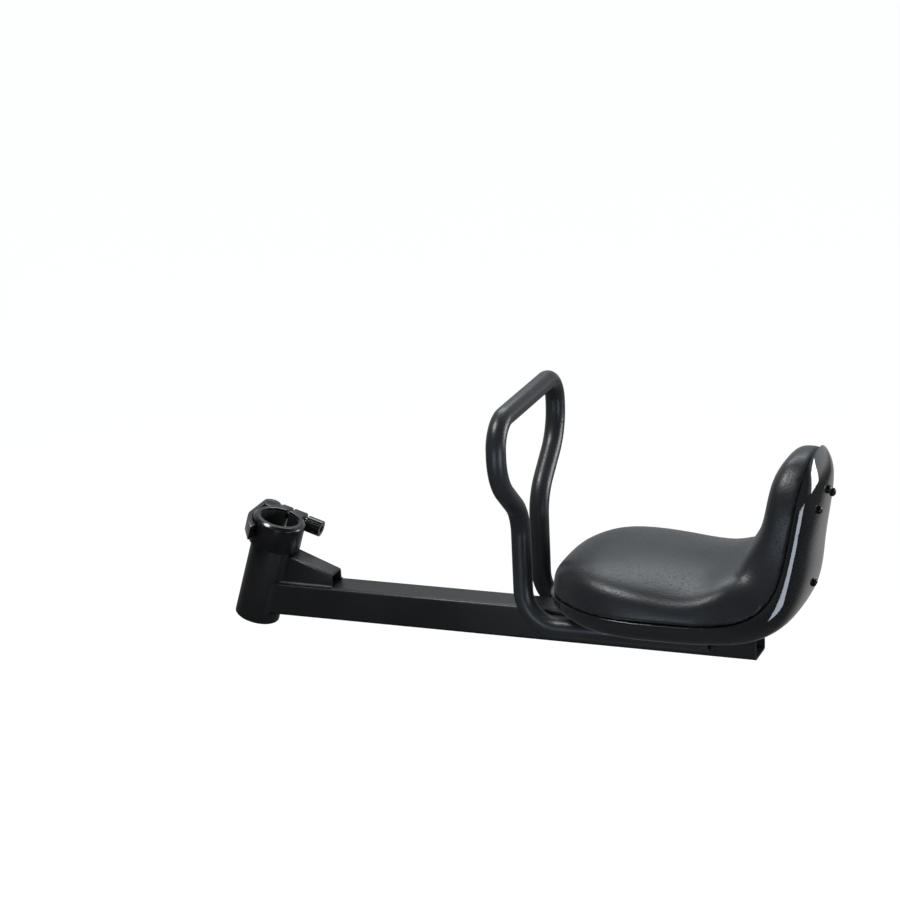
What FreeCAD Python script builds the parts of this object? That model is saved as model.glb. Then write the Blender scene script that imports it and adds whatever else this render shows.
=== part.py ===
import FreeCAD, Part

# Rear child bike seat: a square beam on a quick-release seat-post sleeve carries
# a padded bucket seat, with a bent hand hoop in front of the child.
# Frame: X rearward along the beam, Y to the bike's right, Z up. The origin is where
# the sleeve's axis crosses the plane of the beam's top face. Millimetres and degrees.

import math
import os

import Sketcher
from FreeCAD import Placement, Rotation, Vector

# Driving dimensions

SIZES = {
    # Seat-post sleeve
    "post_bore": 34.0,
    "sleeve_wall": 3.0,
    "sleeve_lean": 17.0,
    "sleeve_drop": 38.0,
    "sleeve_rise": 58.0,
    "sleeve_slot_width": 3.0,
    "sleeve_slot_length": 28.0,
    # Main beam
    "beam_width": 30.0,
    "beam_height": 30.0,
    "beam_wall": 2.0,
    "beam_corner": 3.0,
    "beam_reach": 454.0,
    "weld_gap": 0.05,
    # Gusset channel between sleeve and beam
    "gusset_width": 22.0,
    "gusset_wall": 2.0,
    "gusset_reach": 68.5,
    "gusset_end_height": 11.0,
    "gusset_slope": 21.0,
    "gusset_edge": 3.5,
    # Hand hoop
    "hoop_tube": 17.0,
    "hoop_wall": 1.5,
    "hoop_setback": 24.5,
    "hoop_half_top": 75.5,
    "hoop_top": 182.5,
    "hoop_grip_height": 50.5,
    "hoop_flare_height": 44.0,
    "hoop_run_height": -12.5,
    "hoop_run_length": 164.5,
    "hoop_corner_radius": 24.0,
    "hoop_upper_radius": 48.0,
    "hoop_lower_radius": 40.0,
    "hoop_foot_radius": 31.0,
    # Clamp collar
    "collar_gap": 0.05,
    "collar_wall": 3.5,
    "collar_height": 25.0,
    "collar_lip": 2.0,
    "collar_lip_gap": 0.6,
    "collar_bevel": 2.5,
    "collar_slot": 3.0,
    "ear_rear": 13.0,
    "ear_radius": 8.5,
    "bolt_stand": 6.45,
    "bolt_height": 49.0,
    # Clamp bolt, nut, washer and cam lever
    "bolt_diameter": 5.0,
    "bolt_clearance": 0.25,
    "thread_gap": 0.02,
    "running_gap": 0.05,
    "nut_gap": 0.3,
    "nut_neck": 3.0,
    "nut_neck_diameter": 10.0,
    "nut_length": 14.0,
    "nut_diameter": 14.6,
    "nut_rib_depth": 0.9,
    "nut_rib_half": 1.0,
    "nut_ribs": 16,
    "nut_socket_flats": 6.0,
    "nut_socket_depth": 5.0,
    "cam_radius": 8.0,
    "cam_offset": 0.8,
    "cam_gap": 0.45,
    "cam_seat": 2.2,
    "cam_washer_half": 4.8,
    "cam_washer_thickness": 3.2,
    "cam_washer_height": 12.0,
    "pin_diameter": 8.0,
    "pin_hole_depth": 6.0,
    "lever_height": 13.0,
    "lever_gap": 0.8,
    "lever_thickness": 3.85,
    "lever_slot_gap": 0.4,
    "lever_sweep_angle": 212.0,
    "lever_tip_length": 18.0,
    "lever_tip_angle": 238.0,
    "lever_slot_from_angle": -48.0,
    "lever_slot_angle": 246.0,
    # Seat outline, measured along the bent line that the rim follows
    "seat_overhang": 37.0,
    "rim_height": 23.5,
    "rim_run": 168.0,
    "rim_bend_radius": 43.0,
    "rim_back_lean": 10.0,
    "rim_back_run": 98.0,
    "seat_half_width": 88.0,
    "back_half_width": 51.0,
    "taper_start": 130.0,
    "taper_end": 265.0,
    "front_round": 86.0,
    "top_round": 50.0,
    "front_squareness": 2.1,
    "top_squareness": 2.2,
    # Seat shell
    "shell_wall": 3.0,
    "back_depth": 15.3,
    "bend_fullness": 10.5,
    "shell_squareness": 0.95,
    "back_squareness": 0.66,
    # Seat board and cushion
    "board_drop": 2.0,
    "board_thickness": 6.0,
    "board_gap": 1.5,
    "board_front": 24.0,
    "board_top": 34.0,
    "cushion_gap": 0.3,
    "cushion_inset": 1.5,
    "cushion_height": 37.6,
    "cushion_back_height": 29.8,
    "cushion_fall_start": 16.0,
    "cushion_sag": 5.6,
    "cushion_corner_fill": 12.0,
    "cushion_corner_run": 33.5,
    "cushion_front_round": 38.0,
    "cushion_front_squareness": 1.95,
    "cushion_top_round": 28.0,
    "cushion_squareness": 0.88,
    # Seat plate, bolts, washers and tee nuts
    "plate_thickness": 2.0,
    "plate_setback": 140.0,
    "plate_length": 104.0,
    "plate_width": 102.0,
    "plate_corner": 12.0,
    "seat_bolt_inset": 20.0,
    "seat_bolt_spread": 84.0,
    "seat_bolt_diameter": 6.0,
    "seat_bolt_clearance": 0.3,
    "seat_bolt_flats": 10.0,
    "seat_bolt_head": 4.0,
    "seat_washer_diameter": 12.0,
    "seat_washer_thickness": 1.2,
    "tee_flange_diameter": 16.0,
    "tee_flange_thickness": 1.2,
    "tee_barrel_diameter": 8.0,
    "boss_wall": 3.5,
    # Screws through the back of the shell
    "screw_diameter": 4.0,
    "screw_head_diameter": 7.2,
    "screw_head_side": 1.5,
    "screw_head_dome": 1.9,
    "screw_seat": 0.05,
    "screw_spot_gap": 0.3,
    "screw_boss_wall": 2.2,
    "screw_bite": 5.0,
    "screw_top_rise": 66.5,
    "screw_side_rise": 56.0,
    "screw_side_spread": 46.0,
    "screw_low_angle": 64.0,
}

# How finely the seat's cages are drawn, and small reaches past a face for cutting tools

ROW_DEGREE = 3
END_ROWS = 4
MIDDLE_ROWS = 10
TIP_SHARE = 0.02
PAST = 1.0
SHORT = 0.5
NEAR = 0.01

doc = FreeCAD.newDocument("ChildSeat")
sheet = doc.addObject("Spreadsheet::Sheet", "Sizes")
for row, (alias, value) in enumerate(SIZES.items(), start=1):
    sheet.set(f"A{row}", alias)
    sheet.set(f"B{row}", str(value))
    sheet.setAlias(f"B{row}", alias)
doc.recompute()

UP = Vector(0, 0, 1)
parts = []


def size(alias):
    """Reads one driving dimension from the sheet."""
    return float(sheet.get(alias))


def finish(obj, label):
    """Names a finished sub-part and lists it for export."""
    obj.Label = label
    parts.append(obj)
    return obj


def bind(obj, **expressions):
    """Binds properties of an object to the sheet; dots in names are written as two underscores."""
    for name, expression in expressions.items():
        obj.setExpression(name.replace("__", "."), expression)


def origin_plane(body, role):
    """Finds one of a body's own origin planes."""
    return next(item for item in body.Origin.OriginFeatures if item.Role == role)


def new_sketch(body, role, name):
    """Makes a sketch on one of a body's origin planes."""
    sketch = body.newObject("Sketcher::SketchObject", name)
    sketch.AttachmentSupport = (origin_plane(body, role), [""])
    sketch.MapMode = "FlatFace"
    return sketch


def outline(sketch, points, start=(0.0, 0.0)):
    """Draws a closed polygon whose corners are bound to pairs of expressions."""
    count = len(points)
    first = sketch.GeometryCount
    spread = [Vector(start[0] + math.cos(k), start[1] + math.sin(k), 0) for k in range(count)]
    for k in range(count):
        sketch.addGeometry(Part.LineSegment(spread[k], spread[(k + 1) % count]))
    for k in range(count):
        sketch.addConstraint(Sketcher.Constraint("Coincident", first + k, 2, first + (k + 1) % count, 1))
    for k, pair in enumerate(points):
        for kind, expression in zip(("DistanceX", "DistanceY"), pair):
            index = sketch.addConstraint(Sketcher.Constraint(kind, -1, 1, first + k, 1, 1.0))
            sketch.setExpression(f"Constraints[{index}]", expression)


def circle(sketch, radius, across="0", along="0"):
    """Draws a circle whose radius and centre are bound to expressions."""
    index = sketch.addGeometry(Part.Circle(Vector(0.1, 0.1, 0), Vector(0, 0, 1), 1.0))
    for kind, expression in (("DistanceX", across), ("DistanceY", along)):
        spot = sketch.addConstraint(Sketcher.Constraint(kind, -1, 1, index, 3, 0.1))
        sketch.setExpression(f"Constraints[{spot}]", expression)
    spot = sketch.addConstraint(Sketcher.Constraint("Radius", index, 1.0))
    sketch.setExpression(f"Constraints[{spot}]", radius)


def feature(body, kind, name, sketch, **expressions):
    """Adds a sketch-based feature to a body."""
    made = body.newObject(f"PartDesign::{kind}", name)
    made.Profile = sketch
    bind(made, **expressions)
    return made


def round_edges(body, name, chosen, radius):
    """Rounds the edges of a body's last feature that a test picks."""
    doc.recompute()
    base = body.Tip
    edges = [f"Edge{k}" for k, edge in enumerate(base.Shape.Edges, start=1) if chosen(edge)]
    made = body.newObject("PartDesign::Fillet", name)
    made.Base = (base, edges)
    bind(made, Radius=radius)
    doc.recompute()


def span(edge, axis):
    """How far an edge reaches along one axis."""
    places = [getattr(vertex, axis) for vertex in edge.Vertexes]
    return max(places) - min(places)


def primitive(kind, name, **expressions):
    """Adds a Part primitive with sizes bound to the sheet."""
    made = doc.addObject(f"Part::{kind}", name)
    bind(made, **expressions)
    return made


def cut(name, base, tool):
    """Cuts one object from another."""
    made = doc.addObject("Part::Cut", name)
    made.Base = base
    made.Tool = tool
    return made


def fuse(name, *shapes):
    """Joins objects into one."""
    made = doc.addObject("Part::MultiFuse", name)
    made.Shapes = list(shapes)
    return made


def solid_feature(name, shape):
    """Holds a solid made by formula as an object of the document."""
    made = doc.addObject("Part::Feature", name)
    made.Shape = shape
    return made


def copies(name, shape, placements):
    """Holds a group of equal separate solids as one object."""
    solids = []
    for placement in placements:
        solid = shape.copy()
        solid.Placement = placement.multiply(solid.Placement)
        solids.append(solid)
    return solid_feature(name, Part.makeCompound(solids))


# Places along the beam: the seat plate is set from its rear end, the seat from the plate,
# and the hand hoop from the seat

PLATE_FRONT = "(Sizes.beam_reach - Sizes.plate_setback)"
plate_front = size("beam_reach") - size("plate_setback")
rim_front = plate_front - size("seat_overhang")
hoop_station = rim_front - size("hoop_setback")
hoop_run_end = hoop_station + size("hoop_run_length")
hoop_upper_kink = size("hoop_top") - size("hoop_grip_height")
hoop_lower_kink = hoop_upper_kink - size("hoop_flare_height")

# The sleeve's own axes: X' rearward across the sleeve, Y, and along the sleeve

LEAN = Placement(Vector(0, 0, 0), Rotation(Vector(0, 1, 0), size("sleeve_lean")))
SLEEVE_OUTER = "(Sizes.post_bore / 2 + Sizes.sleeve_wall)"
COLLAR_INNER = f"({SLEEVE_OUTER} + Sizes.collar_gap)"
COLLAR_OUTER = f"({COLLAR_INNER} + Sizes.collar_wall)"
COLLAR_TOP = "(Sizes.sleeve_rise + Sizes.collar_lip)"
COLLAR_FOOT = f"({COLLAR_TOP} - Sizes.collar_height)"
LEVER_OUTER = f"({COLLAR_OUTER} + Sizes.lever_gap + Sizes.lever_thickness)"
HINGE_REACH = f"({LEVER_OUTER} - Sizes.cam_radius + Sizes.cam_offset)"
EAR_FRONT = f"({LEVER_OUTER} - 2 * Sizes.cam_radius - Sizes.cam_seat)"
BOLT_OFFSET = f"({COLLAR_OUTER} + Sizes.bolt_stand)"
sleeve_outer = size("post_bore") / 2 + size("sleeve_wall")
collar_outer = sleeve_outer + size("collar_gap") + size("collar_wall")
lever_inner = collar_outer + size("lever_gap")
lever_outer = lever_inner + size("lever_thickness")
hinge_reach = lever_outer - size("cam_radius") + size("cam_offset")
bolt_offset = collar_outer + size("bolt_stand")


def lean(obj):
    """Places an object built on the sleeve's own axes."""
    obj.Placement = LEAN.multiply(obj.Placement)
    return obj


# Sleeve tube, slotted at the top beside the collar's ears

sleeve_body = doc.addObject("PartDesign::Body", "SleeveBody")
sleeve_ring = new_sketch(sleeve_body, "XY_Plane", "SleeveRing")
circle(sleeve_ring, SLEEVE_OUTER)
circle(sleeve_ring, "Sizes.post_bore / 2")
bind(sleeve_ring, AttachmentOffset__Base__z="-Sizes.sleeve_drop")
feature(sleeve_body, "Pad", "SleevePad", sleeve_ring, Length="Sizes.sleeve_drop + Sizes.sleeve_rise")
sleeve_slot = new_sketch(sleeve_body, "XZ_Plane", "SleeveSlot")
outline(sleeve_slot, [
    ("-Sizes.sleeve_slot_width / 2", "Sizes.sleeve_rise - Sizes.sleeve_slot_length"),
    ("Sizes.sleeve_slot_width / 2", "Sizes.sleeve_rise - Sizes.sleeve_slot_length"),
    ("Sizes.sleeve_slot_width / 2", f"Sizes.sleeve_rise + {PAST}"),
    ("-Sizes.sleeve_slot_width / 2", f"Sizes.sleeve_rise + {PAST}"),
])
feature(sleeve_body, "Pocket", "SleeveSlotCut", sleeve_slot, Length=SLEEVE_OUTER)
doc.recompute()
finish(lean(sleeve_body), "sleeve_tube")

# Main beam: square tube coped to the sleeve, with an open rear end

beam_body = doc.addObject("PartDesign::Body", "BeamBody")
beam_outer = new_sketch(beam_body, "YZ_Plane", "BeamOuter")
outline(beam_outer, [
    ("-Sizes.beam_width / 2", "-Sizes.beam_height"),
    ("Sizes.beam_width / 2", "-Sizes.beam_height"),
    ("Sizes.beam_width / 2", "0"),
    ("-Sizes.beam_width / 2", "0"),
])
feature(beam_body, "Pad", "BeamPad", beam_outer, Length="Sizes.beam_reach")
round_edges(beam_body, "BeamRound", lambda edge: span(edge, "X") > SHORT, "Sizes.beam_corner")
beam_inner = new_sketch(beam_body, "YZ_Plane", "BeamInner")
outline(beam_inner, [
    ("-Sizes.beam_width / 2 + Sizes.beam_wall", "-Sizes.beam_height + Sizes.beam_wall"),
    ("Sizes.beam_width / 2 - Sizes.beam_wall", "-Sizes.beam_height + Sizes.beam_wall"),
    ("Sizes.beam_width / 2 - Sizes.beam_wall", "-Sizes.beam_wall"),
    ("-Sizes.beam_width / 2 + Sizes.beam_wall", "-Sizes.beam_wall"),
])
beam_bore = feature(beam_body, "Pocket", "BeamBore", beam_inner, Length="Sizes.beam_reach")
beam_bore.Reversed = True
doc.recompute()


def cope(name):
    """A cylinder of the sleeve's outside, to cope what is welded to it."""
    tool = primitive(
        "Cylinder", name,
        Radius=f"{SLEEVE_OUTER} + Sizes.weld_gap",
        Height="2 * (Sizes.sleeve_drop + Sizes.sleeve_rise)",
    )
    reach = size("sleeve_drop") + size("sleeve_rise")
    tool.Placement = LEAN.multiply(Placement(Vector(0, 0, -reach), Rotation()))
    return tool


finish(cut("MainBeam", beam_body, cope("BeamCope")), "main_beam")

# Gusset: a folded channel that slopes from the sleeve down to the beam's top

GUSSET_RISE = "(Sizes.gusset_end_height + Sizes.gusset_reach * tan(Sizes.gusset_slope * 1 deg))"
GUSSET_DROP = "(Sizes.gusset_wall / cos(Sizes.gusset_slope * 1 deg))"
gusset_body = doc.addObject("PartDesign::Body", "GussetBody")
gusset_side = new_sketch(gusset_body, "XZ_Plane", "GussetSide")
outline(gusset_side, [
    ("0", "0"),
    ("Sizes.gusset_reach", "0"),
    ("Sizes.gusset_reach", "Sizes.gusset_end_height"),
    ("0", GUSSET_RISE),
])
gusset_pad = feature(gusset_body, "Pad", "GussetPad", gusset_side, Length="Sizes.gusset_width")
gusset_pad.Midplane = True
round_edges(
    gusset_body, "GussetRound",
    lambda edge: span(edge, "X") > SHORT and edge.BoundBox.ZMin > SHORT, "Sizes.gusset_edge")
gusset_inner = new_sketch(gusset_body, "XZ_Plane", "GussetInner")
GUSSET_PAST = f"{PAST} * tan(Sizes.gusset_slope * 1 deg)"
outline(gusset_inner, [
    (f"-{PAST}", f"-{PAST}"),
    (f"Sizes.gusset_reach + {PAST}", f"-{PAST}"),
    (f"Sizes.gusset_reach + {PAST}", f"Sizes.gusset_end_height - {GUSSET_DROP} - {GUSSET_PAST}"),
    (f"-{PAST}", f"{GUSSET_RISE} - {GUSSET_DROP} + {GUSSET_PAST}"),
])
gusset_hollow = feature(
    gusset_body, "Pocket", "GussetHollow", gusset_inner,
    Length="Sizes.gusset_width - 2 * Sizes.gusset_wall",
)
gusset_hollow.Midplane = True
doc.recompute()
finish(cut("GussetChannel", gusset_body, cope("GussetCope")), "gusset_channel")

# Hand hoop: one tube bent up from both sides of the beam and over in front of the child


def rounded_path(points, radii):
    """Joins straight runs by tangent arcs of the given radii at the inner points."""
    edges = []
    last = points[0]
    for before, corner, after, radius in zip(points, points[1:], points[2:], radii):
        back = (before - corner).normalize()
        ahead = (after - corner).normalize()
        half = math.acos(max(-1.0, min(1.0, back.dot(ahead)))) / 2
        reach = radius / math.tan(half)
        enter = corner + back * reach
        leave = corner + ahead * reach
        bisector = (back + ahead).normalize()
        middle = corner + bisector * (radius / math.sin(half) - radius)
        edges.append(Part.LineSegment(last, enter).toShape())
        edges.append(Part.Arc(enter, middle, leave).toShape())
        last = leave
    edges.append(Part.LineSegment(last, points[-1]).toShape())
    return edges


def tube_along(path, radius):
    """Carries a round section along straight runs and arcs."""
    pieces = []
    for edge in path:
        start = edge.valueAt(edge.FirstParameter)
        heading = edge.tangentAt(edge.FirstParameter)
        section = Part.Face(Part.Wire(Part.makeCircle(radius, start, heading)))
        if edge.Curve.TypeId == "Part::GeomCircle":
            turn = math.degrees(edge.Length / edge.Curve.Radius)
            pieces.append(section.revolve(edge.Curve.Center, edge.Curve.Axis, turn))
        else:
            pieces.append(section.extrude(heading * edge.Length))
    return pieces[0].multiFuse(pieces[1:])


hoop_radius = size("hoop_tube") / 2
hoop_half_low = size("beam_width") / 2 + size("weld_gap") + hoop_radius
hoop_side = [
    Vector(hoop_run_end, hoop_half_low, size("hoop_run_height")),
    Vector(hoop_station, hoop_half_low, size("hoop_run_height")),
    Vector(hoop_station, hoop_half_low, hoop_lower_kink),
    Vector(hoop_station, size("hoop_half_top"), hoop_upper_kink),
    Vector(hoop_station, size("hoop_half_top"), size("hoop_top")),
]
hoop_points = hoop_side + [Vector(p.x, -p.y, p.z) for p in reversed(hoop_side)]
hoop_bends = [size(f"hoop_{name}_radius") for name in ("foot", "lower", "upper", "corner")]
hoop_path = rounded_path(hoop_points, hoop_bends + hoop_bends[::-1])
hoop_outer = tube_along(hoop_path, hoop_radius)
hoop_bore = tube_along(hoop_path, hoop_radius - size("hoop_wall"))
finish(solid_feature("HandleHoop", hoop_outer.cut(hoop_bore)), "handle_hoop")

# Clamp collar: a split band with a lip over the sleeve and two ears on the bike's right

collar_band = doc.addObject("PartDesign::Body", "CollarBand")
collar_profile = new_sketch(collar_band, "XZ_Plane", "CollarProfile")
outline(collar_profile, [
    (COLLAR_INNER, COLLAR_FOOT),
    (COLLAR_OUTER, COLLAR_FOOT),
    (COLLAR_OUTER, f"{COLLAR_TOP} - Sizes.collar_bevel"),
    (f"{COLLAR_OUTER} - Sizes.collar_bevel", COLLAR_TOP),
    ("Sizes.post_bore / 2 + Sizes.collar_lip_gap", COLLAR_TOP),
    ("Sizes.post_bore / 2 + Sizes.collar_lip_gap", "Sizes.sleeve_rise"),
    (COLLAR_INNER, "Sizes.sleeve_rise"),
], start=(collar_outer, 0.0))
collar_turn = feature(collar_band, "Revolution", "CollarTurn", collar_profile)
collar_turn.ReferenceAxis = (collar_profile, ["V_Axis"])
collar_turn.Angle = 360.0
doc.recompute()
ear_block = primitive(
    "Box", "EarBlock",
    Length=f"{EAR_FRONT} + Sizes.ear_rear",
    Width=BOLT_OFFSET,
    Height="2 * Sizes.ear_radius",
    Placement__Base__x=f"-{EAR_FRONT}",
    Placement__Base__z="Sizes.bolt_height - Sizes.ear_radius",
)
ACROSS = Rotation(Vector(0, 1, 0), 90)


def across(kind, name, radius, start, length):
    """A round piece along X' on the clamp bolt's axis."""
    made = primitive(kind, name, Radius=radius, Height=length)
    made.Placement = Placement(Vector(0, 0, 0), ACROSS)
    bind(
        made,
        Placement__Base__x=start,
        Placement__Base__y=BOLT_OFFSET,
        Placement__Base__z="Sizes.bolt_height",
    )
    return made


ear_round = across(
    "Cylinder", "EarRound", "Sizes.ear_radius", f"-{EAR_FRONT}", f"{EAR_FRONT} + Sizes.ear_rear")
collar_whole = fuse("CollarWhole", collar_band, ear_block, ear_round)
collar_bore = primitive(
    "Cylinder", "CollarBore", Radius=COLLAR_INNER, Height="Sizes.collar_height - Sizes.collar_lip")
bind(collar_bore, Placement__Base__z=COLLAR_FOOT)
collar_split = primitive(
    "Box", "CollarSplit",
    Length="Sizes.collar_slot",
    Width=f"{BOLT_OFFSET} + 2 * Sizes.ear_radius",
    Height="2 * Sizes.collar_height",
    Placement__Base__x="-Sizes.collar_slot / 2",
    Placement__Base__z=f"{COLLAR_FOOT} - Sizes.collar_height / 2",
)
collar_hole = across(
    "Cylinder", "CollarHole", "Sizes.bolt_diameter / 2 + Sizes.bolt_clearance",
    f"-2 * {EAR_FRONT}", f"2 * {EAR_FRONT} + 2 * Sizes.ear_rear")
collar_open = cut("CollarOpen", collar_whole, fuse("CollarCuts", collar_bore, collar_split, collar_hole))
finish(lean(collar_open), "clamp_collar")

# Clamp bolt: a rod from the lever's pin through both ears into the adjusting nut

NUT_FACE = "(Sizes.ear_rear + Sizes.nut_gap)"
NUT_END = f"({NUT_FACE} + Sizes.nut_neck + Sizes.nut_length)"
BOLT_START = f"(-{HINGE_REACH} + Sizes.pin_diameter / 2 - Sizes.pin_hole_depth)"
BOLT_END = f"({NUT_END} - Sizes.nut_socket_depth - Sizes.nut_gap)"
bolt_rod = across(
    "Cylinder", "ClampBolt", "Sizes.bolt_diameter / 2", BOLT_START, f"{BOLT_END} - {BOLT_START}")
doc.recompute()
finish(lean(solid_feature("ClampBoltRod", bolt_rod.Shape.copy())), "clamp_bolt")

# Lever pin: an upright barrel that the bolt screws into and the lever turns on

pin_barrel = primitive(
    "Cylinder", "PinBarrel", Radius="Sizes.pin_diameter / 2", Height="Sizes.lever_height",
    Placement__Base__x=f"-{HINGE_REACH}",
    Placement__Base__y=BOLT_OFFSET,
    Placement__Base__z="Sizes.bolt_height - Sizes.lever_height / 2",
)
pin_thread = across(
    "Cylinder", "PinThread", "Sizes.bolt_diameter / 2 + Sizes.thread_gap",
    f"{BOLT_START} - Sizes.thread_gap", "Sizes.pin_diameter")
finish(lean(cut("LeverPin", pin_barrel, pin_thread)), "lever_pin")

# Cam washer: a block against the front ear, hollowed to the cam's round

washer_block = primitive(
    "Box", "CamWasherBlock",
    Length="Sizes.cam_washer_thickness",
    Width="2 * Sizes.cam_washer_half",
    Height="Sizes.cam_washer_height",
    Placement__Base__x=f"-{EAR_FRONT} - Sizes.cam_washer_thickness",
    Placement__Base__y=f"{BOLT_OFFSET} - Sizes.cam_washer_half",
    Placement__Base__z="Sizes.bolt_height - Sizes.cam_washer_height / 2",
)
washer_hollow = primitive(
    "Cylinder", "CamWasherHollow",
    Radius="Sizes.cam_radius + Sizes.cam_gap",
    Height="2 * Sizes.cam_washer_height",
    Placement__Base__x=f"-{HINGE_REACH} + Sizes.cam_offset",
    Placement__Base__y=BOLT_OFFSET,
    Placement__Base__z="Sizes.bolt_height - Sizes.cam_washer_height",
)
washer_hole = across(
    "Cylinder", "CamWasherHole", "Sizes.bolt_diameter / 2 + Sizes.bolt_clearance",
    f"-{HINGE_REACH}", HINGE_REACH)
finish(
    lean(cut("CamWasher", washer_block, fuse("CamWasherCuts", washer_hollow, washer_hole))),
    "cam_washer")

# Cam lever: an eccentric head on the pin and an arm that wraps the collar's front


def polar(radius, angle):
    """A point about the sleeve's axis, at an angle in degrees from X'."""
    turn = math.radians(angle)
    return Vector(radius * math.cos(turn), radius * math.sin(turn), 0)


lever_foot = size("bolt_height") - size("lever_height") / 2
cam_centre = Vector(-hinge_reach + size("cam_offset"), bolt_offset, 0)
tip_start = polar(lever_outer, size("lever_sweep_angle"))
tip_end = tip_start + polar(size("lever_tip_length"), size("lever_sweep_angle") + 90)
inner_end = polar(lever_inner, size("lever_tip_angle"))
outer_front = Vector(-lever_outer, 0, 0)
outer_middle = polar(lever_outer, (180 + size("lever_sweep_angle")) / 2)
outer_root = Vector(-lever_outer, cam_centre.y, 0)
inner_front = Vector(-lever_inner, 0, 0)
inner_middle = polar(lever_inner, (180 + size("lever_tip_angle")) / 2)
inner_root = Vector(-lever_inner, cam_centre.y, 0)
arm_edges = [
    Part.LineSegment(outer_root, outer_front).toShape(),
    Part.Arc(outer_front, outer_middle, tip_start).toShape(),
    Part.LineSegment(tip_start, tip_end).toShape(),
    Part.LineSegment(tip_end, inner_end).toShape(),
    Part.Arc(inner_end, inner_middle, inner_front).toShape(),
    Part.LineSegment(inner_front, inner_root).toShape(),
    Part.LineSegment(inner_root, outer_root).toShape(),
]
lever_rise = Vector(0, 0, size("lever_height"))
lever_arm = Part.Face(Part.Wire(arm_edges)).extrude(lever_rise)
lever_head = Part.makeCylinder(size("cam_radius"), size("lever_height"), cam_centre)
hinge_point = Vector(-hinge_reach, bolt_offset, 0)
lever_hole = Part.makeCylinder(
    size("pin_diameter") / 2 + size("running_gap"), size("lever_height"), hinge_point)
slot_half = size("bolt_diameter") / 2 + size("lever_slot_gap")
lever_slot = Part.makeCylinder(
    size("cam_radius") + 2 * size("cam_offset"), 2 * slot_half,
    hinge_point + Vector(0, 0, size("lever_height") / 2 - slot_half), UP, size("lever_slot_angle"))
lever_slot.rotate(hinge_point, UP, size("lever_slot_from_angle"))
lever_solid = lever_head.fuse(lever_arm).removeSplitter().cut(lever_hole).cut(lever_slot)
lever_solid.translate(Vector(0, 0, lever_foot))
finish(lean(solid_feature("CamLever", lever_solid)), "cam_lever")

# Adjusting nut: a ribbed barrel nut with a hexagon socket in its rear end

nut_body = doc.addObject("PartDesign::Body", "NutBody")
nut_profile = new_sketch(nut_body, "XY_Plane", "NutProfile")
outline(nut_profile, [
    (NUT_FACE, "Sizes.bolt_diameter / 2 + Sizes.running_gap"),
    (NUT_END, "Sizes.bolt_diameter / 2 + Sizes.running_gap"),
    (NUT_END, "Sizes.nut_diameter / 2"),
    (f"{NUT_FACE} + Sizes.nut_neck", "Sizes.nut_diameter / 2"),
    (f"{NUT_FACE} + Sizes.nut_neck", "Sizes.nut_neck_diameter / 2"),
    (NUT_FACE, "Sizes.nut_neck_diameter / 2"),
], start=(size("ear_rear"), size("bolt_diameter")))
nut_turn = feature(nut_body, "Revolution", "NutTurn", nut_profile)
nut_turn.ReferenceAxis = (nut_profile, ["H_Axis"])
nut_turn.Angle = 360.0
doc.recompute()
nut_socket = new_sketch(nut_body, "YZ_Plane", "NutSocket")
SOCKET_CORNER = "(Sizes.nut_socket_flats / 2 / cos(30 deg))"
outline(nut_socket, [
    (f"{SOCKET_CORNER} * cos({60 * k} deg)", f"{SOCKET_CORNER} * sin({60 * k} deg)") for k in range(6)])
bind(nut_socket, AttachmentOffset__Base__z=NUT_END)
feature(nut_body, "Pocket", "NutSocketCut", nut_socket, Length="Sizes.nut_socket_depth")
doc.recompute()
nut_groove = new_sketch(nut_body, "YZ_Plane", "NutGroove")
outline(nut_groove, [
    ("Sizes.nut_diameter / 2 - Sizes.nut_rib_depth", "0"),
    (f"Sizes.nut_diameter / 2 + {PAST}", "-Sizes.nut_rib_half"),
    (f"Sizes.nut_diameter / 2 + {PAST}", "Sizes.nut_rib_half"),
], start=(size("nut_diameter") / 2, 0.0))
bind(nut_groove, AttachmentOffset__Base__z=NUT_END)
nut_groove_cut = feature(nut_body, "Pocket", "NutGrooveCut", nut_groove, Length="Sizes.nut_length")
doc.recompute()
nut_ribs = nut_body.newObject("PartDesign::PolarPattern", "NutRibs")
nut_ribs.Originals = [nut_groove_cut]
nut_ribs.Axis = (nut_groove, ["N_Axis"])
nut_ribs.Angle = 360.0
bind(nut_ribs, Occurrences="Sizes.nut_ribs")
nut_body.Tip = nut_ribs
bind(nut_body, Placement__Base__y=BOLT_OFFSET, Placement__Base__z="Sizes.bolt_height")
doc.recompute()
finish(lean(solid_feature("AdjustingNut", nut_body.Shape.copy())), "adjusting_nut")

# Seat: shell, board and cushion are sections along a bent line in the middle plane.
# The line runs rearward at rim height, bends up and leans back. A point of the seat is
# its distance along the line, its offset across and its height square to the line.

bend_angle = math.radians(90 - size("rim_back_lean"))
bend_start = size("rim_run")
bend_end = bend_start + size("rim_bend_radius") * bend_angle
line_end = bend_end + size("rim_back_run")
seat_depth = size("rim_height") - size("plate_thickness")


def smooth_step(value, low, high):
    """Rises smoothly from 0 at low to 1 at high."""
    share = min(1.0, max(0.0, (value - low) / (high - low)))
    return share * share * (3 - 2 * share)


def end_round(gap, length, squareness):
    """Rises from 0 at an end to 1 at a length from it, as a rounded corner does."""
    share = max(0.0, 1 - max(0.0, gap) / length)
    return (1 - share ** squareness) ** (1 / squareness)


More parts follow.
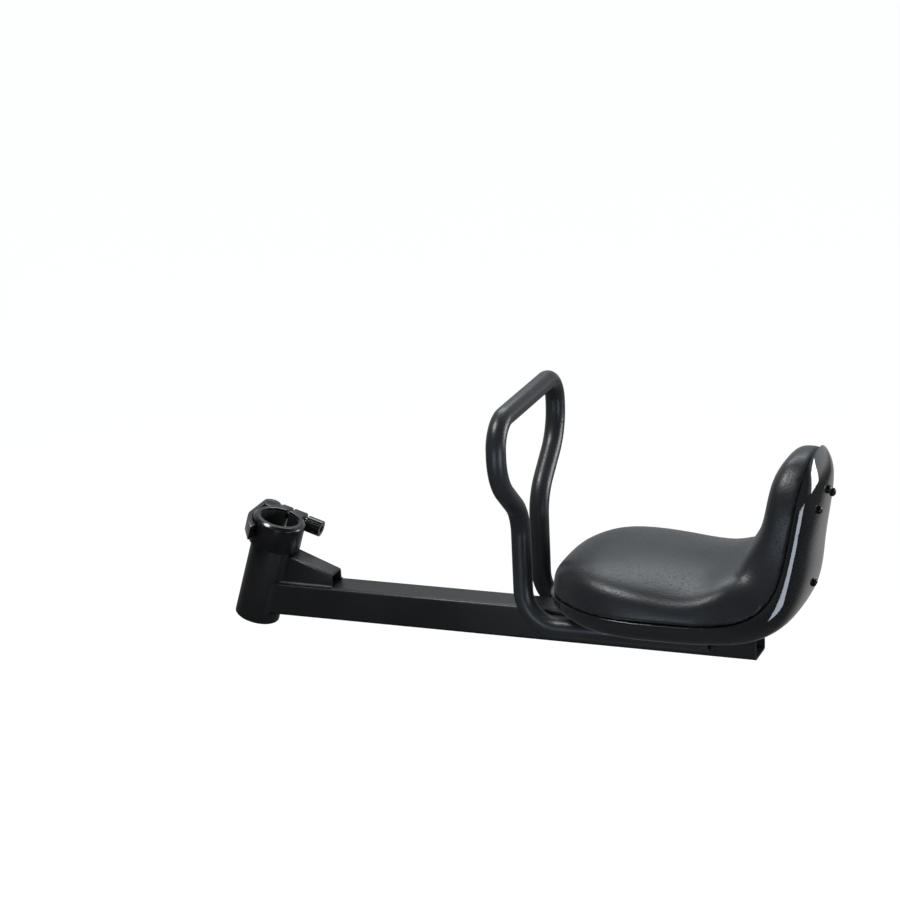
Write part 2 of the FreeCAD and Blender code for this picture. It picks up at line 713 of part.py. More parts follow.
def rim_frame(along):
    """Gives the rim line's point and the direction square to it, towards the child."""
    turn = min(bend_angle, max(0.0, (along - bend_start) / size("rim_bend_radius")))
    run = min(along, bend_start)
    climb = max(0.0, along - bend_end)
    across_bend = size("rim_bend_radius") * math.sin(turn)
    up_bend = size("rim_bend_radius") * (1 - math.cos(turn))
    point = Vector(
        rim_front + run + across_bend + climb * math.cos(turn),
        0,
        size("rim_height") + up_bend + climb * math.sin(turn))
    return point, Vector(-math.sin(turn), 0, math.cos(turn))


def seat_point(along, offset, height):
    """Turns seat coordinates into a place."""
    point, normal = rim_frame(along)
    return point + normal * height + Vector(0, offset, 0)


def half_width(along):
    """Half the seat's width: round front, wide seat, narrower back, round top."""
    taper = smooth_step(along, size("taper_start"), size("taper_end"))
    wide = size("seat_half_width") + taper * (size("back_half_width") - size("seat_half_width"))
    front = end_round(along, size("front_round"), size("front_squareness"))
    top = end_round(line_end - along, size("top_round"), size("top_squareness"))
    return wide * front * top


def shell_depth(along):
    """Depth of the shell behind the rim, fuller where the seat turns up into the back."""
    taper = smooth_step(along, bend_start, bend_end)
    deep = seat_depth + taper * (size("back_depth") - seat_depth)
    full = size("bend_fullness") * 4 * taper * (1 - taper)
    front = end_round(along, size("front_round"), size("front_squareness"))
    top = end_round(line_end - along, size("top_round"), size("top_squareness"))
    return (deep + full) * front * top


def shell_squareness(along):
    """How boxy the shell's section is: square under the seat, round at the back."""
    taper = smooth_step(along, bend_start, bend_end)
    return size("shell_squareness") + taper * (size("back_squareness") - size("shell_squareness"))


def cushion_rise(along):
    """Height of the cushion's crown over the rim: it sags towards the back and fills the corner."""
    taper = smooth_step(along, size("cushion_fall_start"), bend_start)
    high = size("cushion_height") + taper * (size("cushion_back_height") - size("cushion_height"))
    high -= size("cushion_sag") * taper * (1 - smooth_step(along, bend_start, bend_end))
    enter = smooth_step(along, bend_start - size("cushion_corner_run"), bend_start)
    leave = smooth_step(along, bend_end, bend_end + size("cushion_corner_run"))
    high += size("cushion_corner_fill") * enter * (1 - leave)
    front = end_round(along, size("cushion_front_round"), size("cushion_front_squareness"))
    top = end_round(line_end - along, size("cushion_top_round"), size("top_squareness"))
    return high * front * top


def stations(inset):
    """Rows of the seat: where a row lies along the line, and where its width and depth are read.

    The two rows at each end lie at the same place, so that the ends are round from above.
    At the top both are as shallow as the tip, so that the shell's back ends in a point.
    """
    turns = [math.radians(90 * k / END_ROWS) for k in range(END_ROWS)]
    rounds = [1 - math.cos(turn) for turn in turns]
    rounds[0] = TIP_SHARE * rounds[1]
    shifts = [inset * math.cos(turn) for turn in turns]
    front = size("front_round")
    top = size("top_round")
    middle = line_end - front - top
    starts = [0.0, 0.0] + rounds[2:]
    depths = [rounds[0]] * 2 + rounds[2:]
    rows = [
        (shift + front * start, front * share, front * share)
        for shift, start, share in zip(shifts, starts, rounds)]
    rows += [(front + middle * k / MIDDLE_ROWS,) * 3 for k in range(MIDDLE_ROWS + 1)]
    rows += [
        (line_end - shift - top * start, line_end - top * share, line_end - top * depth)
        for shift, start, share, depth in reversed(list(zip(shifts, starts, rounds, depths)))]
    return rows


def bowl_ring(along, width, depth, square, level):
    """A closed ring: a rounded bowl of two mirrored curves, closed by a line at its level."""
    corners = [(1, 0), (1, square), (square, 1), (0, 1)]
    right = [seat_point(along, width * out, level + depth * sink) for out, sink in corners]
    left = [seat_point(along, -width * out, level + depth * sink) for out, sink in reversed(corners)]
    return [right, left, [left[-1], right[0]]]


def cage(rings):
    """A smooth solid on a cage of rings, flat at its first and last ring."""
    spans = len(rings) - ROW_DEGREE
    repeats = [ROW_DEGREE + 1] + [1] * (spans - 1) + [ROW_DEGREE + 1]
    faces = []
    for side in zip(*rings):
        net = [list(row) for row in zip(*side)]
        degree = len(net) - 1
        surface = Part.BSplineSurface()
        surface.buildFromPolesMultsKnots(
            net, [degree + 1] * 2, repeats, [0, 1], list(range(spans + 1)), False, False,
            degree, ROW_DEGREE)
        faces.append(surface.toShape())
    for ring in (rings[0], rings[-1]):
        edges = []
        for places in ring:
            curve = Part.BezierCurve()
            curve.setPoles(places)
            edges.append(curve.toShape())
        faces.append(Part.Face(Part.Wire(edges)))
    skin = Part.Shell(faces)
    skin.sewShape()
    solid = Part.Solid(skin)
    if solid.Volume < 0:
        solid.reverse()
    return solid


wall = size("shell_wall")


def bowl_cage(inset, level):
    """A solid of the shell's outside, or of the room inside it by an inset, up to a level over the rim."""
    rings = []
    for place, form, sink in stations(inset):
        width = max(half_width(form) - inset, SHORT)
        depth = max(shell_depth(sink) - inset, SHORT) + level
        rings.append(bowl_ring(place, width, -depth, shell_squareness(form), level))
    return cage(rings)


shell_outer = bowl_cage(0.0, 0.0)
shell_solid = shell_outer.cut(bowl_cage(wall, wall))

board_under = size("board_drop") + size("board_thickness")
board_start = size("board_front")
board_end = line_end - size("board_top")
board_edges = []
for height in (-size("board_drop"), -board_under):
    spots = [board_start, bend_start, (bend_start + bend_end) / 2, bend_end, board_end]
    low, enter, middle, leave, high = [seat_point(spot, -size("seat_half_width"), height) for spot in spots]
    board_edges.append(Part.LineSegment(low, enter).toShape())
    board_edges.append(Part.Arc(enter, middle, leave).toShape())
    board_edges.append(Part.LineSegment(leave, high).toShape())
for spot in (board_start, board_end):
    ends = [seat_point(spot, -size("seat_half_width"), -drop) for drop in (size("board_drop"), board_under)]
    board_edges.append(Part.LineSegment(*ends).toShape())
board_wire = Part.Wire(Part.__sortEdges__(board_edges))
board_sheet = Part.Face(board_wire).extrude(Vector(0, 2 * size("seat_half_width"), 0))
board_solid = board_sheet.common(bowl_cage(wall + size("board_gap"), wall))

cushion_rings = []
for place, form, sink in stations(size("cushion_inset")):
    width = max(half_width(form) - size("cushion_inset"), SHORT)
    cushion_rings.append(
        bowl_ring(place, width, cushion_rise(form), size("cushion_squareness"), size("cushion_gap")))
cushion_solid = cage(cushion_rings)

# Seat plate: a steel plate on the beam that the seat is bolted to

plate_body = doc.addObject("PartDesign::Body", "PlateBody")
plate_outline = new_sketch(plate_body, "XY_Plane", "PlateOutline")
outline(plate_outline, [
    (PLATE_FRONT, "-Sizes.plate_width / 2"),
    (f"{PLATE_FRONT} + Sizes.plate_length", "-Sizes.plate_width / 2"),
    (f"{PLATE_FRONT} + Sizes.plate_length", "Sizes.plate_width / 2"),
    (PLATE_FRONT, "Sizes.plate_width / 2"),
])
for along in ("Sizes.seat_bolt_inset", "Sizes.plate_length - Sizes.seat_bolt_inset"):
    for side in ("-", ""):
        circle(
            plate_outline, "Sizes.seat_bolt_diameter / 2 + Sizes.seat_bolt_clearance",
            f"{PLATE_FRONT} + {along}", f"{side}Sizes.seat_bolt_spread / 2")
feature(plate_body, "Pad", "PlatePad", plate_outline, Length="Sizes.plate_thickness")
half_plate = size("plate_width") / 2
round_edges(
    plate_body, "PlateRound",
    lambda edge: span(edge, "Z") > SHORT and abs(abs(edge.Vertexes[0].Y) - half_plate) < NEAR,
    "Sizes.plate_corner")
finish(plate_body, "seat_plate")

# Places of the seat bolts and of the screws through the back of the shell

bolt_rows = [
    plate_front + size("seat_bolt_inset"),
    plate_front + size("plate_length") - size("seat_bolt_inset"),
]
bolt_places = [
    Placement(Vector(x, side * size("seat_bolt_spread") / 2, 0), Rotation())
    for x in bolt_rows for side in (-1, 1)
]
low_along = bend_start + size("rim_bend_radius") * math.radians(size("screw_low_angle"))
screw_spots = [
    (bend_end + size("screw_top_rise"), 0.0),
    (bend_end + size("screw_side_rise"), -size("screw_side_spread") / 2),
    (bend_end + size("screw_side_rise"), size("screw_side_spread") / 2),
    (low_along, 0.0),
]


def shell_surface(along, offset):
    """Height of the shell's outside, square to the rim line, at a place of the seat."""
    line = Part.makeLine(seat_point(along, offset, 0), seat_point(along, offset, -2 * size("rim_height")))
    return -line.common(shell_outer).Length


def screw_place(along, offset, height):
    """A placement whose Z points from the back of the shell towards the child."""
    point, normal = rim_frame(along)
    return Placement(seat_point(along, offset, height), Rotation(UP, normal))


# Seat shell with bosses for the seat bolts and the screws

boss_bore = size("seat_bolt_diameter") / 2 + size("seat_bolt_clearance")
boss_foot = size("plate_thickness") + wall / 2
boss_head = size("rim_height") - board_under
screw_bore = size("screw_diameter") / 2 + size("screw_seat")
spot_radius = size("screw_head_diameter") / 2 + size("screw_spot_gap")
for place in bolt_places:
    boss = Part.makeCylinder(boss_bore + size("boss_wall"), boss_head - boss_foot, Vector(0, 0, boss_foot))
    boss.Placement = place
    shell_solid = shell_solid.fuse(boss)
for along, offset in screw_spots:
    foot = shell_surface(along, offset) + wall / 2
    boss = Part.makeCylinder(screw_bore + size("screw_boss_wall"), -board_under - foot)
    boss.Placement = screw_place(along, offset, foot)
    shell_solid = shell_solid.fuse(boss)
for place in bolt_places:
    hole = Part.makeCylinder(boss_bore, size("rim_height"))
    hole.Placement = place
    shell_solid = shell_solid.cut(hole)
for along, offset in screw_spots:
    hole = Part.makeCylinder(screw_bore, 2 * size("rim_height"))
    hole.Placement = screw_place(along, offset, -2 * size("rim_height"))
    spot = Part.makeCylinder(spot_radius, size("screw_head_diameter"))
    spot.Placement = screw_place(along, offset, shell_surface(along, offset) - size("screw_head_diameter"))
    shell_solid = shell_solid.cut(hole.fuse(spot))
finish(solid_feature("SeatShell", shell_solid), "seat_shell")

# Seat board with holes for the tee nuts and the screws

tee_barrel = size("tee_barrel_diameter") / 2
for place in bolt_places:
    hole = Part.makeCylinder(tee_barrel + size("screw_seat"), 2 * size("rim_height"))
    hole.Placement = place
    board_solid = board_solid.cut(hole)
for along, offset in screw_spots:
    hole = Part.makeCylinder(screw_bore, size("screw_bite"))
    hole.Placement = screw_place(along, offset, -board_under)
    board_solid = board_solid.cut(hole)
finish(solid_feature("SeatBoard", board_solid), "seat_board")
finish(solid_feature("SeatCushion", cushion_solid), "seat_cushion")

# Tee nuts pressed into the board from above

board_top_height = size("rim_height") - size("board_drop")
tee_flange = Part.makeCylinder(
    size("tee_flange_diameter") / 2, size("tee_flange_thickness"), Vector(0, 0, board_top_height))
tee_tube = Part.makeCylinder(tee_barrel, size("board_thickness"), Vector(0, 0, boss_head))
tee_thread = Part.makeCylinder(
    size("seat_bolt_diameter") / 2 + size("thread_gap"), 2 * size("rim_height"))
tee_nut = tee_flange.fuse(tee_tube).removeSplitter().cut(tee_thread)
finish(copies("TeeNuts", tee_nut, bolt_places), "tee_nuts")

# Hexagon bolts and flat washers under the plate

washer_disc = Part.makeCylinder(
    size("seat_washer_diameter") / 2, size("seat_washer_thickness"),
    Vector(0, 0, -size("seat_washer_thickness")))
washer_eye = Part.makeCylinder(
    boss_bore, 2 * size("seat_washer_thickness"), Vector(0, 0, -2 * size("seat_washer_thickness")))
finish(copies("SeatWashers", washer_disc.cut(washer_eye), bolt_places), "seat_washers")
hex_corner = size("seat_bolt_flats") / 2 / math.cos(math.radians(30))
head_foot = -size("seat_washer_thickness") - size("seat_bolt_head")
hex_points = [polar(hex_corner, 60 * k) + Vector(0, 0, head_foot) for k in range(7)]
hex_head = Part.Face(Part.makePolygon(hex_points)).extrude(Vector(0, 0, size("seat_bolt_head")))
shank_top = board_top_height + size("tee_flange_thickness")
shank = Part.makeCylinder(
    size("seat_bolt_diameter") / 2, shank_top - head_foot - size("seat_bolt_head") / 2,
    Vector(0, 0, head_foot + size("seat_bolt_head") / 2))
finish(copies("SeatBolts", hex_head.fuse(shank).removeSplitter(), bolt_places), "seat_bolts")

# Domed screws from behind the shell into the board

head_radius = size("screw_head_diameter") / 2
head_side = -size("screw_head_side")
head_top = head_side - size("screw_head_dome")
dome_radius = (head_radius ** 2 + size("screw_head_dome") ** 2) / (2 * size("screw_head_dome"))
dome_turn = math.asin(head_radius / dome_radius) / 2
dome_middle = Vector(
    dome_radius * math.sin(dome_turn), 0, head_top + dome_radius * (1 - math.cos(dome_turn)))
head_edges = [
    Part.LineSegment(Vector(0, 0, 0), Vector(head_radius, 0, 0)).toShape(),
    Part.LineSegment(Vector(head_radius, 0, 0), Vector(head_radius, 0, head_side)).toShape(),
    Part.Arc(Vector(head_radius, 0, head_side), dome_middle, Vector(0, 0, head_top)).toShape(),
    Part.LineSegment(Vector(0, 0, head_top), Vector(0, 0, 0)).toShape(),
]
screw_head = Part.Face(Part.Wire(head_edges)).revolve(Vector(0, 0, 0), UP, 360)
screw_solids = []
for along, offset in screw_spots:
    seat = shell_surface(along, offset) - size("screw_seat")
    stem = Part.makeCylinder(
        size("screw_diameter") / 2, -board_under + size("screw_bite") - seat - head_side,
        Vector(0, 0, head_side))
    screw = screw_head.fuse(stem).removeSplitter()
    screw.Placement = screw_place(along, offset, seat)
    screw_solids.append(screw)
finish(solid_feature("ShellScrews", Part.makeCompound(screw_solids)), "shell_screws")

# Checks, then one file for each sub-part

doc.recompute()
for obj in doc.Objects:
    for word in ("Invalid", "Error"):
        if word in obj.State:
            raise RuntimeError(f"{obj.Name}: {obj.State}")
for obj in parts:
    if obj.Shape.isNull() or not obj.Shape.isValid():
        raise RuntimeError(f"{obj.Label}: bad shape")
os.makedirs("parts", exist_ok=True)
for obj in parts:
    obj.Shape.exportStep(f"parts/{obj.Label}.step")
    box = obj.Shape.BoundBox
    print(
        f"{obj.Label}: {len(obj.Shape.Solids)} solids, volume {obj.Shape.Volume:.0f},"
        f" x {box.XMin:.1f}..{box.XMax:.1f} y {box.YMin:.1f}..{box.YMax:.1f}"
        f" z {box.ZMin:.1f}..{box.ZMax:.1f}")
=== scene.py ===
import logging
import math
from dataclasses import dataclass, field
from enum import Enum
from typing import Any, Callable, Iterable, Sequence

import bmesh
import bpy
import numpy as np
from mathutils import Matrix, Vector


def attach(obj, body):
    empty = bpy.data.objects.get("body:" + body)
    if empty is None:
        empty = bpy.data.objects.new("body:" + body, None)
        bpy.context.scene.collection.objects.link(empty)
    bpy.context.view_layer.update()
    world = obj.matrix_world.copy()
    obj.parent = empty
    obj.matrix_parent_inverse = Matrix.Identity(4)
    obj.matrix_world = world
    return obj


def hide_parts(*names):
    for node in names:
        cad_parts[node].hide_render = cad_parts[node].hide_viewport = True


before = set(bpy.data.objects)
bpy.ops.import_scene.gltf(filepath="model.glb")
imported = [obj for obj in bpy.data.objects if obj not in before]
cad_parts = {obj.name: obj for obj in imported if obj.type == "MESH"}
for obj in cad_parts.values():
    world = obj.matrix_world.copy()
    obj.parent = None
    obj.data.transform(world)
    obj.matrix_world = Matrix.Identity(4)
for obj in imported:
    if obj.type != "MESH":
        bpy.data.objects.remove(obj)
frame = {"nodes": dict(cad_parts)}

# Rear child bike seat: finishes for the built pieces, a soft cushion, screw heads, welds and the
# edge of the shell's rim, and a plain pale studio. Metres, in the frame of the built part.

log = logging.getLogger("child_seat")
Triple = tuple[float, float, float]
MM = 0.001
JOIN = 0.02 * MM


class Body(Enum):
    """Rigid bodies that new pieces ride on."""

    FRAME = "frame"


class Slot(Enum):
    """Material slots of the part's record, handed to new pieces but not applied to them."""

    FRAME = "frame"
    CUSHION = "cushion"
    SCREWS = "screws"
    SHELL = "shell"


class Signal:
    """A value inside a node tree that can stand in Python expressions."""

    def __init__(self, board: "NodeBoard", socket: bpy.types.NodeSocket) -> None:
        """Wraps one output socket of a board."""
        self.board = board
        self.socket = socket

    def _math(self, operation: str, first: Any, second: Any = 0.0) -> "Signal":
        """Adds a Math node.

        Args:
            operation: the node's operation.
            first: its first value or signal.
            second: its second value or signal.

        Returns:
            The node's result.
        """
        node = self.board.add("ShaderNodeMath", {"operation": operation}, {0: first, 1: second})
        return self.board.out(node)

    def __add__(self, other: Any) -> "Signal":
        """Sum."""
        return self._math("ADD", self, other)

    def __sub__(self, other: Any) -> "Signal":
        """Difference."""
        return self._math("SUBTRACT", self, other)

    def __rsub__(self, other: Any) -> "Signal":
        """Difference from a number."""
        return self._math("SUBTRACT", other, self)

    def __mul__(self, other: Any) -> "Signal":
        """Product."""
        return self._math("MULTIPLY", self, other)

    def sine(self) -> "Signal":
        """Sine of an angle."""
        return self._math("SINE", self)

    def larger(self, other: Any) -> "Signal":
        """The larger of two values."""
        return self._math("MAXIMUM", self, other)

    __radd__ = __add__
    __rmul__ = __mul__


Look = tuple[Signal, Signal, Signal]


class NodeBoard:
    """Builds the nodes of one tree."""

    def __init__(self, tree: bpy.types.NodeTree) -> None:
        """Starts with the tree's nodes as they are."""
        self.tree = tree

    def add(
        self, kind: str, settings: dict[str, Any] | None = None, inputs: dict[Any, Any] | None = None,
    ) -> bpy.types.Node:
        """Adds a node.

        Args:
            kind: the node's type.
            settings: properties set before its sockets.
            inputs: values or signals for its sockets, by name or number.

        Returns:
            The node.
        """
        node = self.tree.nodes.new(kind)
        for name, value in (settings or {}).items():
            setattr(node, name, value)
        for key, value in (inputs or {}).items():
            if isinstance(value, Signal):
                self.tree.links.new(value.socket, node.inputs[key])
            else:
                node.inputs[key].default_value = value
        return node

    def out(self, node: bpy.types.Node, key: Any = 0) -> Signal:
        """One output of a node as a signal."""
        return Signal(self, node.outputs[key])

    def noise(self, place: Signal, scale: float, detail: float = 3.0, roughness: float = 0.5) -> Signal:
        """Cloudy noise from 0 to 1.

        Args:
            place: coordinates.
            scale: how many clouds to a metre.
            detail: how many finer layers.
            roughness: how strong the finer layers are.

        Returns:
            The noise value.
        """
        return self.out(self.add("ShaderNodeTexNoise", {}, {
            "Vector": place, "Scale": scale, "Detail": detail, "Roughness": roughness}))

    def cells(self, place: Signal, scale: float) -> Signal:
        """Distance to the middle of rounded cells, as in grain, with a number of cells to a metre."""
        return self.out(self.add(
            "ShaderNodeTexVoronoi", {"feature": "SMOOTH_F1"}, {"Vector": place, "Scale": scale}))

    def stretch(self, place: Signal, scale: Triple) -> Signal:
        """Coordinates scaled by a different amount each way."""
        return self.out(self.add("ShaderNodeMapping", {}, {"Vector": place, "Scale": scale}))

    def fit(self, value: Signal, low: float, high: float, start: float = 0.0, end: float = 1.0) -> Signal:
        """Maps a range smoothly onto another.

        Args:
            value: the value to map.
            low: where the range starts.
            high: where the range ends.
            start: result at low.
            end: result at high.

        Returns:
            The mapped value, held at its ends.
        """
        return self.out(self.add("ShaderNodeMapRange", {"interpolation_type": "SMOOTHSTEP"}, {
            "Value": value, "From Min": low, "From Max": high, "To Min": start, "To Max": end}))

    def tint(self, share: Signal, first: Triple, second: Triple) -> Signal:
        """Mixes two colours by a share."""
        return self.out(self.add("ShaderNodeMix", {"data_type": "RGBA"}, {
            0: share, 6: (*first, 1.0), 7: (*second, 1.0)}), 2)

    def bump(self, height: Signal, depth: float, strength: float = 1.0) -> Signal:
        """Turns a height into a normal.

        Args:
            height: height from 0 to 1.
            depth: what a height of 1 stands for, in metres.
            strength: share of the effect.

        Returns:
            The bent normal.
        """
        return self.out(self.add("ShaderNodeBump", {}, {
            "Height": height, "Distance": depth, "Strength": strength}))


@dataclass(frozen=True)
class Finish:
    """A surface finish. Each kind paints its own nodes, with grain as counts to a metre."""

    name: str
    dark: Triple
    light: Triple
    rough: float = 0.4
    metal: float = 0.0
    coat: float = 0.0

    def material(self) -> bpy.types.Material:
        """Gives the finish's material, made once.

        Returns:
            The material, with its nodes.
        """
        found = bpy.data.materials.get(self.name)
        if found:
            return found
        made = bpy.data.materials.new(self.name)
        made.use_nodes = True
        made.diffuse_color = (*self.light, 1.0)
        board = NodeBoard(made.node_tree)
        shader = made.node_tree.nodes["Principled BSDF"]
        shader.inputs["Metallic"].default_value = self.metal
        shader.inputs["Coat Weight"].default_value = self.coat
        place = board.out(board.add("ShaderNodeTexCoord"), "Object")
        colour, rough, normal = self.paint(board, place)
        for socket, signal in (("Base Color", colour), ("Roughness", rough), ("Normal", normal)):
            made.node_tree.links.new(signal.socket, shader.inputs[socket])
        self.settle(shader)
        return made

    def paint(self, board: NodeBoard, place: Signal) -> Look:
        """Makes colour, roughness and normal.

        Args:
            board: where nodes go.
            place: object coordinates.

        Returns:
            Signals for base colour, roughness and normal.
        """
        raise NotImplementedError

    def settle(self, shader: bpy.types.Node) -> None:
        """Sets what is the same all over the surface."""


@dataclass(frozen=True)
class PowderCoat(Finish):
    """Baked powder coat: satin, with a fine orange peel and faint rubbing."""

    clouds: float = 14.0
    peel: float = 620.0
    specks: float = 1900.0
    rubs: Triple = (30.0, 260.0, 260.0)
    peel_depth: float = 0.00012

    def paint(self, board: NodeBoard, place: Signal) -> Look:
        """Makes colour, roughness and normal.

        Args:
            board: where nodes go.
            place: object coordinates.

        Returns:
            Signals for base colour, roughness and normal.
        """
        cloud = board.noise(place, self.clouds, 4.0)
        peel = board.noise(place, self.peel, 2.0, 0.55)
        speck = board.fit(board.noise(place, self.specks, 1.0), 0.62, 0.72)
        rub = board.fit(board.noise(board.stretch(place, self.rubs), 1.0, 3.0), 0.55, 0.8)
        colour = board.tint(board.fit(cloud + speck * 0.25, 0.3, 0.8), self.dark, self.light)
        rough = self.rough + (cloud - 0.5) * 0.16 + (peel - 0.5) * 0.1 - rub * 0.06
        return colour, rough, board.bump(peel + speck * 0.15, self.peel_depth, 0.55)


@dataclass(frozen=True)
class GlossCoat(Finish):
    """Glossy coat on a cast or turned piece, with hairline scratches."""

    clouds: float = 45.0
    hairs: Triple = (2400.0, 90.0, 2400.0)
    peel: float = 900.0
    peel_depth: float = 0.00006

    def paint(self, board: NodeBoard, place: Signal) -> Look:
        """Makes colour, roughness and normal.

        Args:
            board: where nodes go.
            place: object coordinates.

        Returns:
            Signals for base colour, roughness and normal.
        """
        cloud = board.noise(place, self.clouds, 3.0)
        hair = board.fit(board.noise(board.stretch(place, self.hairs), 1.0, 2.0), 0.6, 0.75)
        peel = board.noise(place, self.peel, 1.0)
        colour = board.tint(board.fit(cloud, 0.3, 0.75), self.dark, self.light)
        rough = self.rough + (cloud - 0.5) * 0.12 + hair * 0.12
        return colour, rough, board.bump(peel + hair * 0.4, self.peel_depth, 0.5)


@dataclass(frozen=True)
class MouldedGloss(Finish):
    """High gloss moulded plastic with a slow ripple, smudges and hairlines."""

    smudges: float = 38.0
    hairs: Triple = (140.0, 1500.0, 500.0)
    ripples: float = 22.0
    dust: float = 2600.0
    ripple_depth: float = 0.0003
    coat_rough: float = 0.03
    specular: float = 0.55

    def paint(self, board: NodeBoard, place: Signal) -> Look:
        """Makes colour, roughness and normal.

        Args:
            board: where nodes go.
            place: object coordinates.

        Returns:
            Signals for base colour, roughness and normal.
        """
        smudge = board.fit(board.noise(place, self.smudges, 5.0, 0.6), 0.5, 0.78)
        hair = board.fit(board.noise(board.stretch(place, self.hairs), 1.0, 3.0), 0.66, 0.8)
        ripple = board.noise(place, self.ripples, 1.0)
        dust = board.fit(board.noise(place, self.dust, 0.0), 0.74, 0.8)
        colour = board.tint(dust * 0.08 + smudge * 0.25, self.dark, self.light)
        rough = self.rough + smudge * 0.04 + hair * 0.012
        return colour, rough, board.bump(ripple, self.ripple_depth, 0.12)

    def settle(self, shader: bpy.types.Node) -> None:
        """Sets the clear top layer."""
        shader.inputs["Coat Roughness"].default_value = self.coat_rough
        shader.inputs["Specular IOR Level"].default_value = self.specular


@dataclass(frozen=True)
class SoftSkin(Finish):
    """Soft grained skin over foam: pebbled cells, fine pores and slow softness."""

    pebble: float = 640.0
    wanders: float = 260.0
    pores: float = 2300.0
    softness: float = 20.0
    pebble_depth: float = 0.00022
    wander: float = 0.0016
    bloom: float = 0.06
    bloom_rough: float = 0.45
    specular: float = 0.4

    def paint(self, board: NodeBoard, place: Signal) -> Look:
        """Makes colour, roughness and normal.

        Args:
            board: where nodes go.
            place: object coordinates.

        Returns:
            Signals for base colour, roughness and normal.
        """
        cloud = board.add("ShaderNodeTexNoise", {}, {"Vector": place, "Scale": self.wanders, "Detail": 1.0})
        bend = board.add("ShaderNodeVectorMath", {"operation": "MULTIPLY_ADD"}, {
            0: board.out(cloud, "Color"), 1: (self.wander,) * 3, 2: place})
        pebble = board.cells(board.out(bend), self.pebble)
        crease = board.fit(pebble, 0.3, 0.85)
        pore = board.noise(place, self.pores, 2.0, 0.6)
        soft = board.noise(place, self.softness, 2.0)
        # The pebbles' valleys are coloured darker: painted shade in the grain.
        colour = board.tint(board.fit(soft + crease * 0.3, 0.35, 0.95), self.light, self.dark)
        rough = self.rough + crease * 0.12 + (soft - 0.5) * 0.1 + (pore - 0.5) * 0.06
        height = (1 - crease) * 0.8 + pore * 0.2 + soft * 1.2
        return colour, rough, board.bump(height, self.pebble_depth, 0.4)

    def settle(self, shader: bpy.types.Node) -> None:
        """Sets the skin's faint bloom.

        Args:
            shader: the material's shader.
        """
        shader.inputs["Sheen Weight"].default_value = self.bloom
        shader.inputs["Sheen Roughness"].default_value = self.bloom_rough
        shader.inputs["Specular IOR Level"].default_value = self.specular


@dataclass(frozen=True)
class ZincPlate(Finish):
    """Bright zinc plate with a fine brushed grain and dull spots."""

    brushing: Triple = (300.0, 3200.0, 3200.0)
    clouds: float = 160.0
    brush_depth: float = 0.00004

    def paint(self, board: NodeBoard, place: Signal) -> Look:
        """Makes colour, roughness and normal.

        Args:
            board: where nodes go.
            place: object coordinates.

        Returns:
            Signals for base colour, roughness and normal.
        """
        brush = board.noise(board.stretch(place, self.brushing), 1.0, 2.0)
        cloud = board.noise(place, self.clouds, 3.0)
        colour = board.tint(board.fit(cloud, 0.3, 0.7), self.dark, self.light)
        rough = self.rough + (cloud - 0.5) * 0.25 + (brush - 0.5) * 0.14
        return colour, rough, board.bump(brush, self.brush_depth, 0.5)


@dataclass(frozen=True)
class BirchPly(Finish):
    """Plywood with long grain and fine pores."""

    grain: Triple = (9.0, 190.0, 190.0)
    pores: Triple = (80.0, 1600.0, 1600.0)
    grain_depth: float = 0.0001

    def paint(self, board: NodeBoard, place: Signal) -> Look:
        """Makes colour, roughness and normal.

        Args:
            board: where nodes go.
            place: object coordinates.

        Returns:
            Signals for base colour, roughness and normal.
        """
        grain = board.noise(board.stretch(place, self.grain), 1.0, 4.0, 0.6)
        pore = board.fit(board.noise(board.stretch(place, self.pores), 1.0, 1.0), 0.6, 0.75)
        colour = board.tint(board.fit(grain, 0.32, 0.7) * 0.85 + pore * 0.15, self.light, self.dark)
        rough = self.rough + (grain - 0.5) * 0.2
        return colour, rough, board.bump(grain + pore * 0.5, self.grain_depth, 0.5)


@dataclass
class Palette:
    """Every finish of the seat."""

    frame: Finish = PowderCoat("frame_powder_coat", (0.0062, 0.0062, 0.0066), (0.0098, 0.0098, 0.0104), 0.42)
    hoop: Finish = PowderCoat("hoop_powder_coat", (0.0138, 0.0155, 0.0183), (0.0195, 0.0215, 0.025), 0.34)
    clamp: Finish = GlossCoat(
        "clamp_gloss_coat", (0.0042, 0.0042, 0.0046), (0.0075, 0.0075, 0.0082), 0.22, coat=0.4)
    bearing: Finish = GlossCoat("bearing_plastic", (0.008, 0.008, 0.008), (0.014, 0.014, 0.014), 0.48)
    steel: Finish = ZincPlate("zinc_plate", (0.46, 0.46, 0.47), (0.62, 0.62, 0.63), 0.34, 1.0)
    shell: Finish = MouldedGloss(
        "shell_gloss", (0.0125, 0.0128, 0.0138), (0.0195, 0.0198, 0.0208), 0.09, coat=1.0)
    # The seat board is coloured near-black as painted shade, so the thin gap between cushion and shell reads
    # as a dark seam.
    board: Finish = BirchPly("black_stained_ply", (0.006, 0.0056, 0.0054), (0.013, 0.012, 0.0115), 0.62)
    cushion: Finish = SoftSkin("cushion_skin", (0.0098, 0.0107, 0.0126), (0.0165, 0.0178, 0.0203), 0.35)
    screws: Finish = GlossCoat("black_oxide", (0.006, 0.006, 0.006), (0.012, 0.012, 0.012), 0.34, 0.5)


def new_object(name: str, mesh: bpy.types.Mesh) -> bpy.types.Object:
    """Puts a mesh into the scene as an object at the origin.

    Args:
        name: the object's name.
        mesh: its mesh.

    Returns:
        The object.
    """
    made = bpy.data.objects.new(name, mesh)
    bpy.context.scene.collection.objects.link(made)
    return made


def evaluated_mesh(source: bpy.types.Object, name: str) -> bpy.types.Mesh:
    """A plain mesh of an object with its modifiers applied.

    Args:
        source: the object.
        name: the new mesh's name.

    Returns:
        The mesh.
    """
    graph = bpy.context.evaluated_depsgraph_get()
    mesh = bpy.data.meshes.new_from_object(source.evaluated_get(graph))
    mesh.name = name
    return mesh


